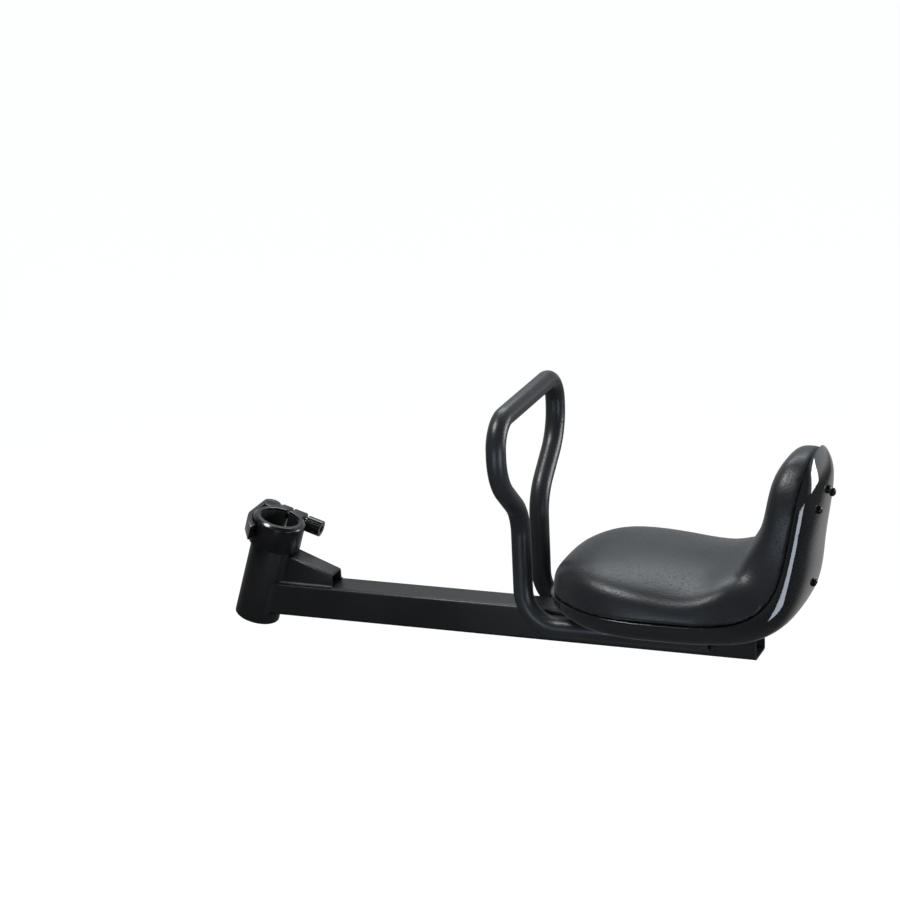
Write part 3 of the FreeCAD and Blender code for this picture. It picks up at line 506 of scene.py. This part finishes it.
def joined(node: str) -> bmesh.types.BMesh:
    """Copies a built node's mesh for work, with its loose faces joined.

    Args:
        node: the node's name.

    Returns:
        The copy, to be freed after use.
    """
    work = bmesh.new()
    work.from_mesh(frame["nodes"][node].data)
    bmesh.ops.remove_doubles(work, verts=work.verts, dist=JOIN)
    return work


def mesh_from(work: bmesh.types.BMesh, name: str) -> bpy.types.Mesh:
    """Turns worked faces into a mesh and frees them.

    Args:
        work: the faces.
        name: the mesh's name.

    Returns:
        The mesh.
    """
    mesh = bpy.data.meshes.new(name)
    work.to_mesh(mesh)
    work.free()
    return mesh


def smooth_faces(mesh: bpy.types.Mesh) -> None:
    """Shades every face smooth."""
    mesh.polygons.foreach_set("use_smooth", [True] * len(mesh.polygons))


@dataclass(frozen=True)
class NodeDress:
    """How one built node is shown: its finish and how much its sharp edges are eased."""

    node: str
    finish: Finish
    ease: float = 0.0
    split_degrees: float = 32.0
    segments: int = 2

    def apply(self) -> None:
        """Assigns the finish, joins the node's loose faces for shading and eases its edges."""
        piece = frame["nodes"][self.node]
        piece.data.materials.clear()
        piece.data.materials.append(self.finish.material())
        smooth_faces(piece.data)
        if "custom_normal" in piece.data.attributes:
            piece.data.attributes.remove(piece.data.attributes["custom_normal"])
        weld = piece.modifiers.new("Join", "WELD")
        weld.merge_threshold = JOIN
        if self.ease:
            bevel = piece.modifiers.new("Ease", "BEVEL")
            bevel.width = self.ease
            bevel.segments = self.segments
            bevel.limit_method = "ANGLE"
            bevel.angle_limit = math.radians(self.split_degrees)
            bevel.use_clamp_overlap = True
        split = piece.modifiers.new("Shade", "EDGE_SPLIT")
        split.split_angle = math.radians(self.split_degrees)
        log.info("dressed %s in %s", self.node, self.finish.name)


class GeometryTree:
    """A Geometry Nodes tree with named inputs, run on one object."""

    def __init__(self, name: str, sizes: dict[str, float]) -> None:
        """Makes the tree's interface.

        Args:
            name: the tree's name.
            sizes: named inputs and their values.
        """
        self.tree = bpy.data.node_groups.new(name, "GeometryNodeTree")
        self.sizes = sizes
        face = self.tree.interface
        face.new_socket("Geometry", in_out="INPUT", socket_type="NodeSocketGeometry")
        self.keys = {
            size: face.new_socket(size, in_out="INPUT", socket_type="NodeSocketFloat").identifier
            for size in sizes}
        face.new_socket("Geometry", in_out="OUTPUT", socket_type="NodeSocketGeometry")
        self.board = NodeBoard(self.tree)
        self.start = self.board.add("NodeGroupInput")

    def given(self, name: str) -> Signal:
        """One of the tree's inputs."""
        return self.board.out(self.start, name)

    def close(self, shapes: Signal, finish: Finish) -> None:
        """Ends the tree: instances become a mesh, shaded smooth, in one finish.

        Args:
            shapes: the geometry.
            finish: what it is made of.
        """
        real = self.board.add("GeometryNodeRealizeInstances", {}, {0: shapes})
        smooth = self.board.add("GeometryNodeSetShadeSmooth", {}, {0: self.board.out(real)})
        dressed = self.board.add("GeometryNodeSetMaterial", {}, {
            0: self.board.out(smooth), "Material": finish.material()})
        self.board.add("NodeGroupOutput", {}, {0: self.board.out(dressed)})

    def run(self, piece: bpy.types.Object) -> None:
        """Sets the inputs on an object and turns the result into its mesh.

        Args:
            piece: the object that carries the tree's start.
        """
        modifier = piece.modifiers.new(self.tree.name, "NODES")
        modifier.node_group = self.tree
        for size, key in self.keys.items():
            modifier[key] = self.sizes[size]
        mesh = evaluated_mesh(piece, piece.name)
        piece.modifiers.clear()
        piece.data = mesh


@dataclass(frozen=True)
class RimLine:
    """The bent line in the seat's middle plane that the shell's rim follows."""

    front: float = 0.277
    height: float = 0.0235
    run: float = 0.168
    radius: float = 0.043
    back_lean: float = 10.0

    @property
    def bend(self) -> float:
        """Angle of the bend from seat to back."""
        return math.radians(90.0 - self.back_lean)

    @property
    def centre(self) -> Vector:
        """Middle of the bend."""
        return Vector((self.front + self.run, 0.0, self.height + self.radius))

    def over(self, place: Vector) -> float:
        """How far a place stands over the rim's surface, towards the child.

        Args:
            place: the place.

        Returns:
            The distance, negative under the surface.
        """
        offset = place - self.centre
        if offset.x <= 0.0:
            return place.z - self.height
        turn = math.atan2(offset.x, -offset.z)
        if turn < self.bend:
            return self.radius - math.hypot(offset.x, offset.z)
        return self.radius - (offset.x * math.sin(self.bend) - offset.z * math.cos(self.bend))


@dataclass
class Cushion:
    """The one-piece soft cushion: seat and back."""

    finish: Finish
    rim: RimLine
    node: str = "seat_cushion"
    voxel: float = 0.003
    start_smaller: float = 0.0012
    pressure: float = 4.0
    last_frame: int = 20
    most_travel: float = 0.006
    held_under: float = 0.0015
    held_over: float = 0.012
    smoothing: int = 4
    relax: float = 0.5
    relax_again: float = 0.4
    cloth_quality: int = 6
    cloth_mass: float = 0.35
    stretch_stiffness: float = 28.0
    shear_stiffness: float = 12.0
    bend_stiffness: float = 4.0
    evening: int = 150
    fill: float = 0.9
    held: list[float] = field(default_factory=list)

    def build(self) -> bpy.types.Object:
        """Makes the cushion from the built solid.

        Returns:
            The finished object, riding on the frame.
        """
        piece = new_object("cushion", self.even_mesh())
        self.held = [self.hold(vertex.co) for vertex in piece.data.vertices]
        self.inflate(piece)
        smooth_faces(piece.data)
        piece.data.materials.clear()
        piece.data.materials.append(self.finish.material())
        finer = piece.modifiers.new("Finer", "SUBSURF")
        finer.levels = finer.render_levels = 1
        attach(piece, Body.FRAME.value)
        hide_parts(self.node)
        log.info("cushion: %d faces", len(piece.data.polygons))
        return piece

    def even_mesh(self) -> bpy.types.Mesh:
        """Copies the built solid with even faces that lie on it.

        Returns:
            The copy.
        """
        mesh = mesh_from(joined(self.node), "cushion_even")
        mesh.materials.clear()
        rough = new_object("cushion_even", mesh)
        remesh = rough.modifiers.new("Even", "REMESH")
        remesh.mode = "VOXEL"
        remesh.voxel_size = self.voxel
        relax = rough.modifiers.new("Relax", "SMOOTH")
        relax.factor = self.relax
        relax.iterations = self.smoothing
        wrap = rough.modifiers.new("OnSolid", "SHRINKWRAP")
        wrap.target = frame["nodes"][self.node]
        wrap.wrap_method = "NEAREST_SURFACEPOINT"
        again = rough.modifiers.new("RelaxAgain", "SMOOTH")
        again.factor = self.relax_again
        again.iterations = 1
        even = evaluated_mesh(rough, "cushion")
        bpy.data.objects.remove(rough)
        return even

    def hold(self, place: Vector) -> float:
        """How firmly a place is held: 1 at the seam and underneath, 0 on the soft top."""
        share = (self.rim.over(place) - self.held_under) / (self.held_over - self.held_under)
        return 1.0 - min(1.0, max(0.0, share))

    def inflate(self, piece: bpy.types.Object) -> None:
        """Swells the cushion under pressure with its seam held, within a limit, and keeps its mean size.

        Args:
            piece: the cushion.
        """
        mesh = piece.data
        first = [vertex.co.copy() for vertex in mesh.vertices]
        ways = [vertex.normal.copy() for vertex in mesh.vertices]
        for vertex, hold in zip(mesh.vertices, self.held):
            vertex.co -= vertex.normal * self.start_smaller * (1.0 - hold)
        group = piece.vertex_groups.new(name="held")
        for index, hold in enumerate(self.held):
            if hold > 0.0:
                group.add([index], hold, "REPLACE")
        cloth = piece.modifiers.new("Swell", "CLOTH")
        settings = cloth.settings
        settings.vertex_group_mass = group.name
        settings.quality = self.cloth_quality
        settings.mass = self.cloth_mass
        settings.tension_stiffness = settings.compression_stiffness = self.stretch_stiffness
        settings.shear_stiffness = self.shear_stiffness
        settings.bending_stiffness = self.bend_stiffness
        settings.use_pressure = True
        settings.uniform_pressure_force = self.pressure
        settings.effector_weights.gravity = 0.0
        cloth.point_cache.frame_start = 1
        cloth.point_cache.frame_end = self.last_frame
        for number in range(1, self.last_frame + 1):
            bpy.context.scene.frame_set(number)
        swollen = evaluated_mesh(piece, "cushion_swollen")
        piece.modifiers.clear()
        piece.vertex_groups.clear()
        loose = 1.0 - np.array(self.held)
        swell = np.array([
            (after.co - before).dot(way) for after, before, way in zip(swollen.vertices, first, ways)])
        swell = self.spread(mesh, swell) - np.average(swell, weights=loose)
        swell = np.clip(swell * loose, -self.most_travel, self.most_travel)
        for vertex, before, way, amount in zip(mesh.vertices, first, ways, swell):
            vertex.co = before + way * amount
        log.info("cushion swelled by %.2f to %.2f mm", swell.min() / MM, swell.max() / MM)
        bpy.data.meshes.remove(swollen)
        bpy.context.scene.frame_set(1)

    def spread(self, mesh: bpy.types.Mesh, values: np.ndarray) -> np.ndarray:
        """Evens out a value over neighbouring vertices, so that only the slow swell stays.

        Args:
            mesh: whose vertices carry the values.
            values: one value a vertex.

        Returns:
            The evened values.
        """
        ends = np.empty(2 * len(mesh.edges), dtype=np.int64)
        mesh.edges.foreach_get("vertices", ends)
        one, other = ends.reshape(-1, 2).T
        count = np.bincount(ends, minlength=len(values))
        for _ in range(self.evening):
            around = np.bincount(one, values[other], len(values))
            around += np.bincount(other, values[one], len(values))
            values = around / count
        return values


@dataclass
class ScrewHeads:
    """Domed screws with a hexagon socket behind the seat's back."""

    finish: Finish
    rim: RimLine
    node: str = "shell_screws"
    radius: float = 0.0036
    side: float = 0.0015
    dome: float = 0.0019
    socket: float = 0.0016
    socket_depth: float = 0.0016
    side_share: float = 0.9
    dome_shares: Sequence[float] = (0.985, 0.92, 0.8, 0.66)
    brim_drop: float = 0.00005
    brim_width: float = 0.00012
    brim_depth: float = 0.00015
    stem_end: float = 0.05 * MM
    split_degrees: float = 38.0
    sides: int = 36

    def build(self) -> bpy.types.Object:
        """Makes the heads where the built screws are.

        Returns:
            The finished object, riding on the frame.
        """
        head = new_object("screw_head", self.head_mesh())
        points = bpy.data.meshes.new("screw_heads")
        places, aims = self.places()
        points.from_pydata(places, [], [])
        aim = points.attributes.new("aim", "FLOAT_VECTOR", "POINT")
        aim.data.foreach_set("vector", [number for way in aims for number in way])
        piece = new_object("screw_heads", points)
        tree = GeometryTree("screws_at_points", {"Size": 1.0})
        board = tree.board
        shape = board.add("GeometryNodeObjectInfo", {"transform_space": "ORIGINAL"}, {"Object": head})
        ways = board.add("GeometryNodeInputNamedAttribute", {"data_type": "FLOAT_VECTOR"}, {"Name": "aim"})
        turn = board.add("FunctionNodeAlignRotationToVector", {"axis": "Z"}, {"Vector": board.out(ways)})
        heads = board.add("GeometryNodeInstanceOnPoints", {}, {
            "Points": tree.given("Geometry"), "Instance": board.out(shape, "Geometry"),
            "Rotation": board.out(turn), "Scale": tree.given("Size")})
        tree.close(board.out(heads), self.finish)
        tree.run(piece)
        bpy.data.objects.remove(head)
        split = piece.modifiers.new("Shade", "EDGE_SPLIT")
        split.split_angle = math.radians(self.split_degrees)
        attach(piece, Body.FRAME.value)
        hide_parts(self.node)
        log.info("screw heads: %d faces", len(piece.data.polygons))
        return piece

    def places(self) -> tuple[list[Vector], list[Vector]]:
        """Reads where the built screws' heads sit and which way they point.

        Returns:
            The middles of the heads' seats, and their outward directions.
        """
        work = joined(self.node)
        seen: set[bmesh.types.BMVert] = set()
        places: list[Vector] = []
        aims: list[Vector] = []
        for start in work.verts:
            if start in seen:
                continue
            seen.add(start)
            island = [start]
            for vertex in island:
                for edge in vertex.link_edges:
                    other = edge.other_vert(vertex)
                    if other not in seen:
                        seen.add(other)
                        island.append(other)
            spots = [vertex.co.copy() for vertex in island]
            lowest = min(spots, key=self.rim.over)
            highest = max(self.rim.over(spot) for spot in spots)
            stem = [spot for spot in spots if self.rim.over(spot) > highest - self.stem_end]
            end = sum(stem, Vector()) / len(stem)
            aim = (lowest - end).normalized()
            places.append(lowest - aim * (self.side + self.dome))
            aims.append(aim)
        work.free()
        return places, aims

    def head_mesh(self) -> bpy.types.Mesh:
        """Makes one head, its seat at the origin and its dome along Z.

        Returns:
            The head's mesh.
        """
        ball = (self.radius ** 2 + self.dome ** 2) / (2 * self.dome)

        def dome_at(out: float) -> float:
            """Height of the dome at a distance from its middle."""
            return self.side + self.dome - ball + math.sqrt(ball ** 2 - out ** 2)

        def hexagon(turn: float) -> float:
            """Radius of the socket at an angle."""
            sixth = math.pi / 3
            return self.socket / math.cos((turn % sixth) - sixth / 2)

        outer = [(self.radius, 0.0), (self.radius, self.side * self.side_share)]
        outer += [(self.radius * share, dome_at(self.radius * share)) for share in self.dome_shares]
        rings: list[Callable[[float], tuple[float, float]]] = [lambda turn, spot=spot: spot for spot in outer]
        brim = dome_at(self.socket) - self.brim_drop
        rings.append(lambda turn: (hexagon(turn) + self.brim_width, brim))
        rings.append(lambda turn: (hexagon(turn), brim - self.brim_depth))
        rings.append(lambda turn: (hexagon(turn), brim - self.socket_depth))
        work = bmesh.new()
        loops = []
        for ring in rings:
            loop = []
            for number in range(self.sides):
                turn = math.tau * number / self.sides
                out, high = ring(turn)
                loop.append(work.verts.new((out * math.cos(turn), out * math.sin(turn), high)))
            loops.append(loop)
        for low, high in zip(loops, loops[1:]):
            for number in range(self.sides):
                after = (number + 1) % self.sides
                work.faces.new((low[number], low[after], high[after], high[number]))
        work.faces.new(loops[-1])
        work.faces.new(list(reversed(loops[0])))
        return mesh_from(work, "screw_head")


@dataclass(frozen=True)
class RoundAlongPath:
    """A round section carried along lines, with a ripple if wanted."""

    name: str
    radius: float
    step: float
    ripple: float = 0.0
    pitch: float = 0.002
    sides: int = 12

    def build(
        self, paths: Sequence[Sequence[Vector]], finish: Finish, slot: Slot, closed: bool,
    ) -> bpy.types.Object:
        """Makes the rounds as one mesh on the frame.

        Args:
            paths: rows of points.
            finish: what they are made of.
            slot: the material slot they use.
            closed: whether each row returns to its start.

        Returns:
            The finished object.
        """
        spots: list[Vector] = []
        edges: list[tuple[int, int]] = []
        for row in paths:
            first = len(spots)
            spots += row
            edges += [(first + number, first + number + 1) for number in range(len(row) - 1)]
            if closed:
                edges.append((len(spots) - 1, first))
        mesh = bpy.data.meshes.new(self.name)
        mesh.from_pydata(spots, edges, [])
        piece = new_object(self.name, mesh)
        tree = GeometryTree(self.name, {
            "Step": self.step, "Radius": self.radius, "Ripple": self.ripple, "Turns": math.tau / self.pitch})
        board = tree.board
        curve = board.add("GeometryNodeMeshToCurve", {}, {0: tree.given("Geometry")})
        evened = board.add("GeometryNodeResampleCurve", {"mode": "LENGTH"}, {
            0: board.out(curve), "Length": tree.given("Step")})
        along = board.out(board.add("GeometryNodeSplineParameter"), "Length")
        grow = (along * tree.given("Turns")).sine() * tree.given("Ripple") + 1.0
        section = board.add("GeometryNodeCurvePrimitiveCircle", {}, {
            "Resolution": self.sides, "Radius": tree.given("Radius")})
        swept = board.add("GeometryNodeCurveToMesh", {}, {
            0: board.out(evened), 1: board.out(section), "Scale": grow, "Fill Caps": not closed})
        tree.close(board.out(swept), finish)
        tree.run(piece)
        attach(piece, Body.FRAME.value)
        log.info("%s: %d faces", self.name, len(piece.data.polygons))
        return piece


@dataclass
class Welds:
    """Welds where the frame's steel pieces meet: ground fillets, and short beads at the hoop's feet."""

    finish: Finish
    lean: float = math.radians(17.0)
    sleeve: float = 0.02005
    beam_half: float = 0.015
    beam_height: float = 0.03
    gusset_half: float = 0.011
    gusset_end: float = 0.0685
    gusset_end_height: float = 0.011
    gusset_slope: float = math.radians(21.0)
    gusset_top_gap: float = 0.001
    hoop_meets_beam: float = 0.0165
    hoop_weld_height: float = -0.0065
    hoop_welds: Sequence[tuple[float, float]] = ((0.266, 0.3), (0.376, 0.41))
    leg: float = 0.0034
    sunk: float = 0.0004
    curve: int = 7
    steps: int = 12
    sharp_degrees: float = 32.0
    bead: RoundAlongPath = RoundAlongPath("hoop_welds", 0.0019, 0.0004, 0.05, 0.0018)

    def on_sleeve(self, beside: float, high: float) -> Vector:
        """A point of the sleeve's rear face at an offset beside and a height."""
        across = math.sqrt(self.sleeve ** 2 - beside ** 2)
        return Vector(((across + high * math.sin(self.lean)) / math.cos(self.lean), beside, high))

    def round_sleeve(self, beside: float) -> Vector:
        """The way round the sleeve at an offset beside, leading off the beam."""
        steep = abs(beside) / math.sqrt(self.sleeve ** 2 - beside ** 2) / math.cos(self.lean)
        return Vector((-steep, math.copysign(1.0, beside), 0.0)).normalized()

    def between(self, start: Vector, end: Vector) -> list[Vector]:
        """Evenly spaced points from one place to another."""
        return [start.lerp(end, number / self.steps) for number in range(self.steps + 1)]

    def corners(self) -> list[tuple[list[Vector], Vector, Vector]]:
        """Finds the inner corners to fill.

        Returns:
            For each corner its points and the ways along its two faces.
        """
        rear, down = Vector((1.0, 0.0, 0.0)), Vector((-math.sin(self.lean), 0.0, -math.cos(self.lean)))
        foot = self.on_sleeve(self.gusset_half, 0.0).x
        rise = self.gusset_end_height + (self.gusset_end - foot) * math.tan(self.gusset_slope)
        rise -= self.gusset_top_gap
        under = [self.on_sleeve(spot.y, spot.z) for spot in self.between(
            Vector((0.0, -self.beam_half, -self.beam_height)),
            Vector((0.0, self.beam_half, -self.beam_height)))]
        found = [(under, rear, down)]
        for sign in (-1, 1):
            for half, low, high in ((self.beam_half, -self.beam_height, 0.0), (self.gusset_half, 0.0, rise)):
                line = self.between(self.on_sleeve(sign * half, low), self.on_sleeve(sign * half, high))
                found.append((line, rear, self.round_sleeve(sign * half)))
            line = self.between(
                Vector((foot, sign * self.gusset_half, 0.0)),
                Vector((self.gusset_end, sign * self.gusset_half, 0.0)))
            found.append((line, Vector((0.0, 0.0, 1.0)), Vector((0.0, float(sign), 0.0))))
        return found

    def ring(self, corner: Vector, one: Vector, other: Vector) -> list[Vector]:
        """Makes a fillet's section: a hollow curve between two faces, closed inside the corner.

        Args:
            corner: where the faces meet.
            one: the way along the first face.
            other: the way along the second face.

        Returns:
            The section's points in order.
        """
        shares = [number / (self.curve - 1) for number in range(self.curve)]
        bent = [
            corner + one * self.leg * (1 - share) ** 2 + other * self.leg * share ** 2 for share in shares]
        return bent + [corner - (one + other) * self.sunk]

    def build_fillets(self) -> None:
        """Fills every inner corner of the frame with a fillet."""
        work = bmesh.new()
        for line, one, other in self.corners():
            rings = [[work.verts.new(spot) for spot in self.ring(corner, one, other)] for corner in line]
            for near, far in zip(rings, rings[1:]):
                for spot in range(len(near)):
                    work.faces.new((near[spot - 1], near[spot], far[spot], far[spot - 1]))
            work.faces.new(rings[0])
            work.faces.new(rings[-1])
        bmesh.ops.recalc_face_normals(work, faces=work.faces)
        mesh = mesh_from(work, "frame_fillets")
        smooth_faces(mesh)
        mesh.set_sharp_from_angle(angle=math.radians(self.sharp_degrees))
        mesh.materials.append(self.finish.material())
        piece = new_object("frame_fillets", mesh)
        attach(piece, Body.FRAME.value)
        log.info("frame_fillets: %d faces", len(mesh.polygons))

    def build(self) -> None:
        """Fills the corners and lays the beads."""
        self.build_fillets()
        beads = [
            self.between(Vector((start, sign * self.hoop_meets_beam, self.hoop_weld_height)),
                         Vector((end, sign * self.hoop_meets_beam, self.hoop_weld_height)))
            for sign in (-1, 1) for start, end in self.hoop_welds]
        self.bead.build(beads, self.finish, Slot.FRAME, closed=False)


@dataclass
class ShellRim:
    """The rounded outer edge of the shell's rim."""

    finish: Finish
    rim: RimLine
    node: str = "seat_shell"
    sharp_degrees: float = 50.0
    level: float = 0.05 * MM
    edge: RoundAlongPath = RoundAlongPath("shell_rim_edge", 0.00045, 0.0015)

    def outline(self) -> list[Vector]:
        """Reads the rim's outer edge from the built shell.

        Returns:
            A closed row of points.
        """
        work = joined(self.node)
        sharp = math.radians(self.sharp_degrees)
        near: dict[bmesh.types.BMVert, list[bmesh.types.BMVert]] = {}
        for edge in work.edges:
            flat = all(abs(self.rim.over(vertex.co)) < self.level for vertex in edge.verts)
            if flat and len(edge.link_faces) == 2 and edge.calc_face_angle() > sharp:
                for vertex in edge.verts:
                    near.setdefault(vertex, []).append(edge.other_vert(vertex))
        row = [max(near, key=lambda vertex: vertex.co.y)]
        seen = set(row)
        while True:
            ahead = [vertex for vertex in near[row[-1]] if vertex not in seen]
            if not ahead:
                break
            row.append(ahead[0])
            seen.add(ahead[0])
        spots = [vertex.co.copy() for vertex in row]
        work.free()
        return spots

    def build(self) -> None:
        """Rounds the edge all the way."""
        self.edge.build([self.outline()], self.finish, Slot.SHELL, closed=True)


@dataclass
class FrameAssembly:
    """Sleeve, beam, gusset, hoop and seat plate, with their welds."""

    palette: Palette
    ease: float = 0.35 * MM

    def build(self) -> None:
        """Dresses the frame's nodes and adds its welds."""
        for node in ("sleeve_tube", "main_beam", "gusset_channel", "seat_plate"):
            NodeDress(node, self.palette.frame, self.ease).apply()
        NodeDress("handle_hoop", self.palette.hoop).apply()
        Welds(self.palette.frame).build()


@dataclass
class ClampAssembly:
    """Split collar with its bolt, pin, bearing block, cam lever and adjusting nut."""

    palette: Palette
    ease: float = 0.3 * MM

    def build(self) -> None:
        """Dresses the clamp's nodes."""
        for node in ("clamp_collar", "cam_lever"):
            NodeDress(node, self.palette.clamp, self.ease).apply()
        NodeDress("adjusting_nut", self.palette.clamp).apply()
        NodeDress("cam_washer", self.palette.bearing).apply()
        for node in ("clamp_bolt", "lever_pin"):
            NodeDress(node, self.palette.screws).apply()


@dataclass
class SeatAssembly:
    """Shell, board, cushion and the seat's fasteners."""

    palette: Palette
    rim: RimLine = field(default_factory=RimLine)

    def build(self) -> None:
        """Dresses the seat's nodes and makes its soft and turned pieces."""
        NodeDress("seat_shell", self.palette.shell).apply()
        ShellRim(self.palette.shell, self.rim).build()
        NodeDress("seat_board", self.palette.board).apply()
        for node in ("tee_nuts", "seat_washers", "seat_bolts"):
            NodeDress(node, self.palette.steel).apply()
        Cushion(self.palette.cushion, self.rim).build()
        ScrewHeads(self.palette.screws, self.rim).build()


@dataclass(frozen=True)
class Softbox:
    """A soft studio lamp."""

    name: str
    place: Triple
    target: Triple
    width: float
    height: float
    watts: float
    colour: Triple = (1.0, 1.0, 1.0)

    def build(self) -> None:
        """Hangs the lamp so that it faces its target."""
        lamp = bpy.data.lights.new(self.name, "AREA")
        lamp.shape = "RECTANGLE"
        lamp.size = self.width
        lamp.size_y = self.height
        lamp.energy = self.watts
        lamp.color = self.colour
        made = bpy.data.objects.new(self.name, lamp)
        bpy.context.scene.collection.objects.link(made)
        aim = Vector(self.target) - Vector(self.place)
        made.matrix_world = Matrix.Translation(self.place) @ aim.to_track_quat("-Z", "Y").to_matrix().to_4x4()
        made.visible_camera = False


@dataclass
class Studio:
    """Camera, lamps, pale floor and white surroundings."""

    eye: Triple = (1.069240, -2.232269, 0.907541)
    right: Triple = (0.933684, 0.355177, -0.045655)
    up: Triple = (-0.069329, 0.304368, 0.950028)
    back: Triple = (0.351324, -0.883861, 0.308808)
    focal_pixels: float = 2946.43
    frame_pixels: float = 909.0
    clip_end: float = 50.0
    floor_level: float = -0.5
    floor_size: float = 26.0
    floor_share: float = 0.75
    floor_white: float = 1.2
    floor_mirror: float = 0.27
    floor_aside: float = 0.12
    floor_far: float = 0.4
    floor_dark: Triple = (0.9, 0.9, 0.9)
    floor_light: Triple = (0.93, 0.93, 0.93)
    floor_clouds: float = 3.0
    beside: tuple[float, float] = (0.65, 1.2)
    near_behind: tuple[float, float] = (0.2, 1.2)
    far_behind: tuple[float, float] = (2.0, 6.0)
    room_light: float = 0.42
    room_front: float = 0.045
    room_behind: float = 0.46
    room_turn: tuple[float, float] = (-0.1, 0.4)
    room_tint: Triple = (0.88, 0.95, 1.0)
    lamps: Sequence[Softbox] = (
        Softbox(
            "overhead_softbox", (0.08, 0.6, 0.88), (0.38, -0.05, 0.05), 0.62, 0.45, 3.6, (0.92, 0.97, 1.0)),
        Softbox("left_softbox", (-0.2, -0.42, 1.2), (0.47, 0.0, 0.13), 0.36, 0.36, 11.0),
        Softbox(
            "right_panel", (1.294, -0.495, -0.18), (0.495, -0.052, 0.08), 0.58, 0.4, 3.3, (0.8, 0.88, 1.0)),
        Softbox("rear_panel", (1.284, 0.602, 0.2), (0.507, -0.027, 0.147), 0.5, 0.43, 6.5),
        Softbox("front_panel", (0.27, -0.62, -0.02), (0.49, -0.05, 0.09), 0.3, 0.16, 0.55, (0.75, 0.86, 1.0)),
    )

    def build(self) -> None:
        """Sets up everything round the object."""
        self.build_camera()
        for lamp in self.lamps:
            lamp.build()
        self.build_floor()
        self.build_world()
        bpy.context.scene.view_settings.view_transform = "Standard"
        log.info("studio: %d lamps", len(self.lamps))

    def build_camera(self) -> None:
        """Places the camera at the photograph's view."""
        data = bpy.data.cameras.new("photo_view")
        data.sensor_fit = "AUTO"
        data.lens = self.focal_pixels / self.frame_pixels * data.sensor_width
        data.clip_end = self.clip_end
        made = bpy.data.objects.new("photo_view", data)
        bpy.context.scene.collection.objects.link(made)
        turn = Matrix((self.right, self.up, self.back)).transposed().to_4x4()
        made.matrix_world = Matrix.Translation(self.eye) @ turn
        bpy.context.scene.camera = made

    @staticmethod
    def rays(board: NodeBoard) -> tuple[Signal, Signal]:
        """Tells which rays ask.

        Args:
            board: where nodes go.

        Returns:
            1 for rays straight from the camera, and 1 for those in gloss or glass.
        """
        path = board.add("ShaderNodeLightPath")
        gloss = board.out(path, "Is Glossy Ray").larger(board.out(path, "Is Transmission Ray"))
        return board.out(path, "Is Camera Ray"), gloss

    def build_floor(self) -> None:
        """Lays a wide pale floor that keeps a soft shadow and is darker in front, as seen in gloss."""
        half = self.floor_size / 2
        mesh = bpy.data.meshes.new("floor")
        corners = [(-half, -half), (half, -half), (half, half), (-half, half)]
        mesh.from_pydata([(x, y, self.floor_level) for x, y in corners], [], [(0, 1, 2, 3)])
        made = new_object("floor", mesh)
        pale = bpy.data.materials.new("pale_floor")
        pale.use_nodes = True
        board = NodeBoard(pale.node_tree)
        board.tree.nodes.clear()
        place = board.out(board.add("ShaderNodeTexCoord"), "Object")
        parts = board.add("ShaderNodeSeparateXYZ", {}, {0: place})
        behind = board.out(parts, "Y")
        aside = board.fit(board.out(parts, "X"), *self.beside, 1.0, self.floor_aside)
        mirror = board.fit(behind, *self.near_behind, self.room_front, self.floor_mirror) * aside
        mirror = mirror + board.fit(behind, *self.far_behind) * self.floor_far
        camera, gloss = self.rays(board)
        shade = board.tint(board.noise(place, self.floor_clouds), self.floor_dark, self.floor_light)
        plain = board.add("ShaderNodeBsdfDiffuse", {}, {"Color": shade})
        white = board.add("ShaderNodeEmission", {}, {"Color": camera * self.floor_white + gloss * mirror})
        mixed = board.add("ShaderNodeMixShader", {}, {
            0: camera * self.floor_share + gloss, 1: board.out(plain), 2: board.out(white)})
        board.add("ShaderNodeOutputMaterial", {}, {"Surface": board.out(mixed)})
        mesh.materials.append(pale)

    def build_world(self) -> None:
        """Surrounds the object with white behind it and a darker room in front."""
        world = bpy.data.worlds.new("studio")
        bpy.context.scene.world = world
        world.use_nodes = True
        board = NodeBoard(world.node_tree)
        board.tree.nodes.clear()
        camera, gloss = self.rays(board)
        place = board.out(board.add("ShaderNodeTexCoord"), "Generated")
        way = board.add("ShaderNodeSeparateXYZ", {}, {0: place})
        behind = board.fit(board.out(way, "Y"), *self.room_turn, self.room_front, self.room_behind)
        level = (1 - gloss) * self.room_light + gloss * behind
        shade = board.tint(level, (0.0, 0.0, 0.0), self.room_tint)
        room = board.add("ShaderNodeBackground", {}, {"Color": shade})
        white = board.add("ShaderNodeBackground", {}, {"Color": (1.0, 1.0, 1.0, 1.0)})
        mixed = board.add("ShaderNodeMixShader", {}, {0: camera, 1: board.out(room), 2: board.out(white)})
        board.add("ShaderNodeOutputWorld", {}, {"Surface": board.out(mixed)})


def main() -> None:
    """Builds and dresses the seat, then the studio."""
    logging.basicConfig(level=logging.INFO, format="%(name)s: %(message)s")
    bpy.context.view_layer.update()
    palette = Palette()
    FrameAssembly(palette).build()
    ClampAssembly(palette).build()
    SeatAssembly(palette).build()
    Studio().build()


if __name__ == "__main__":
    main()
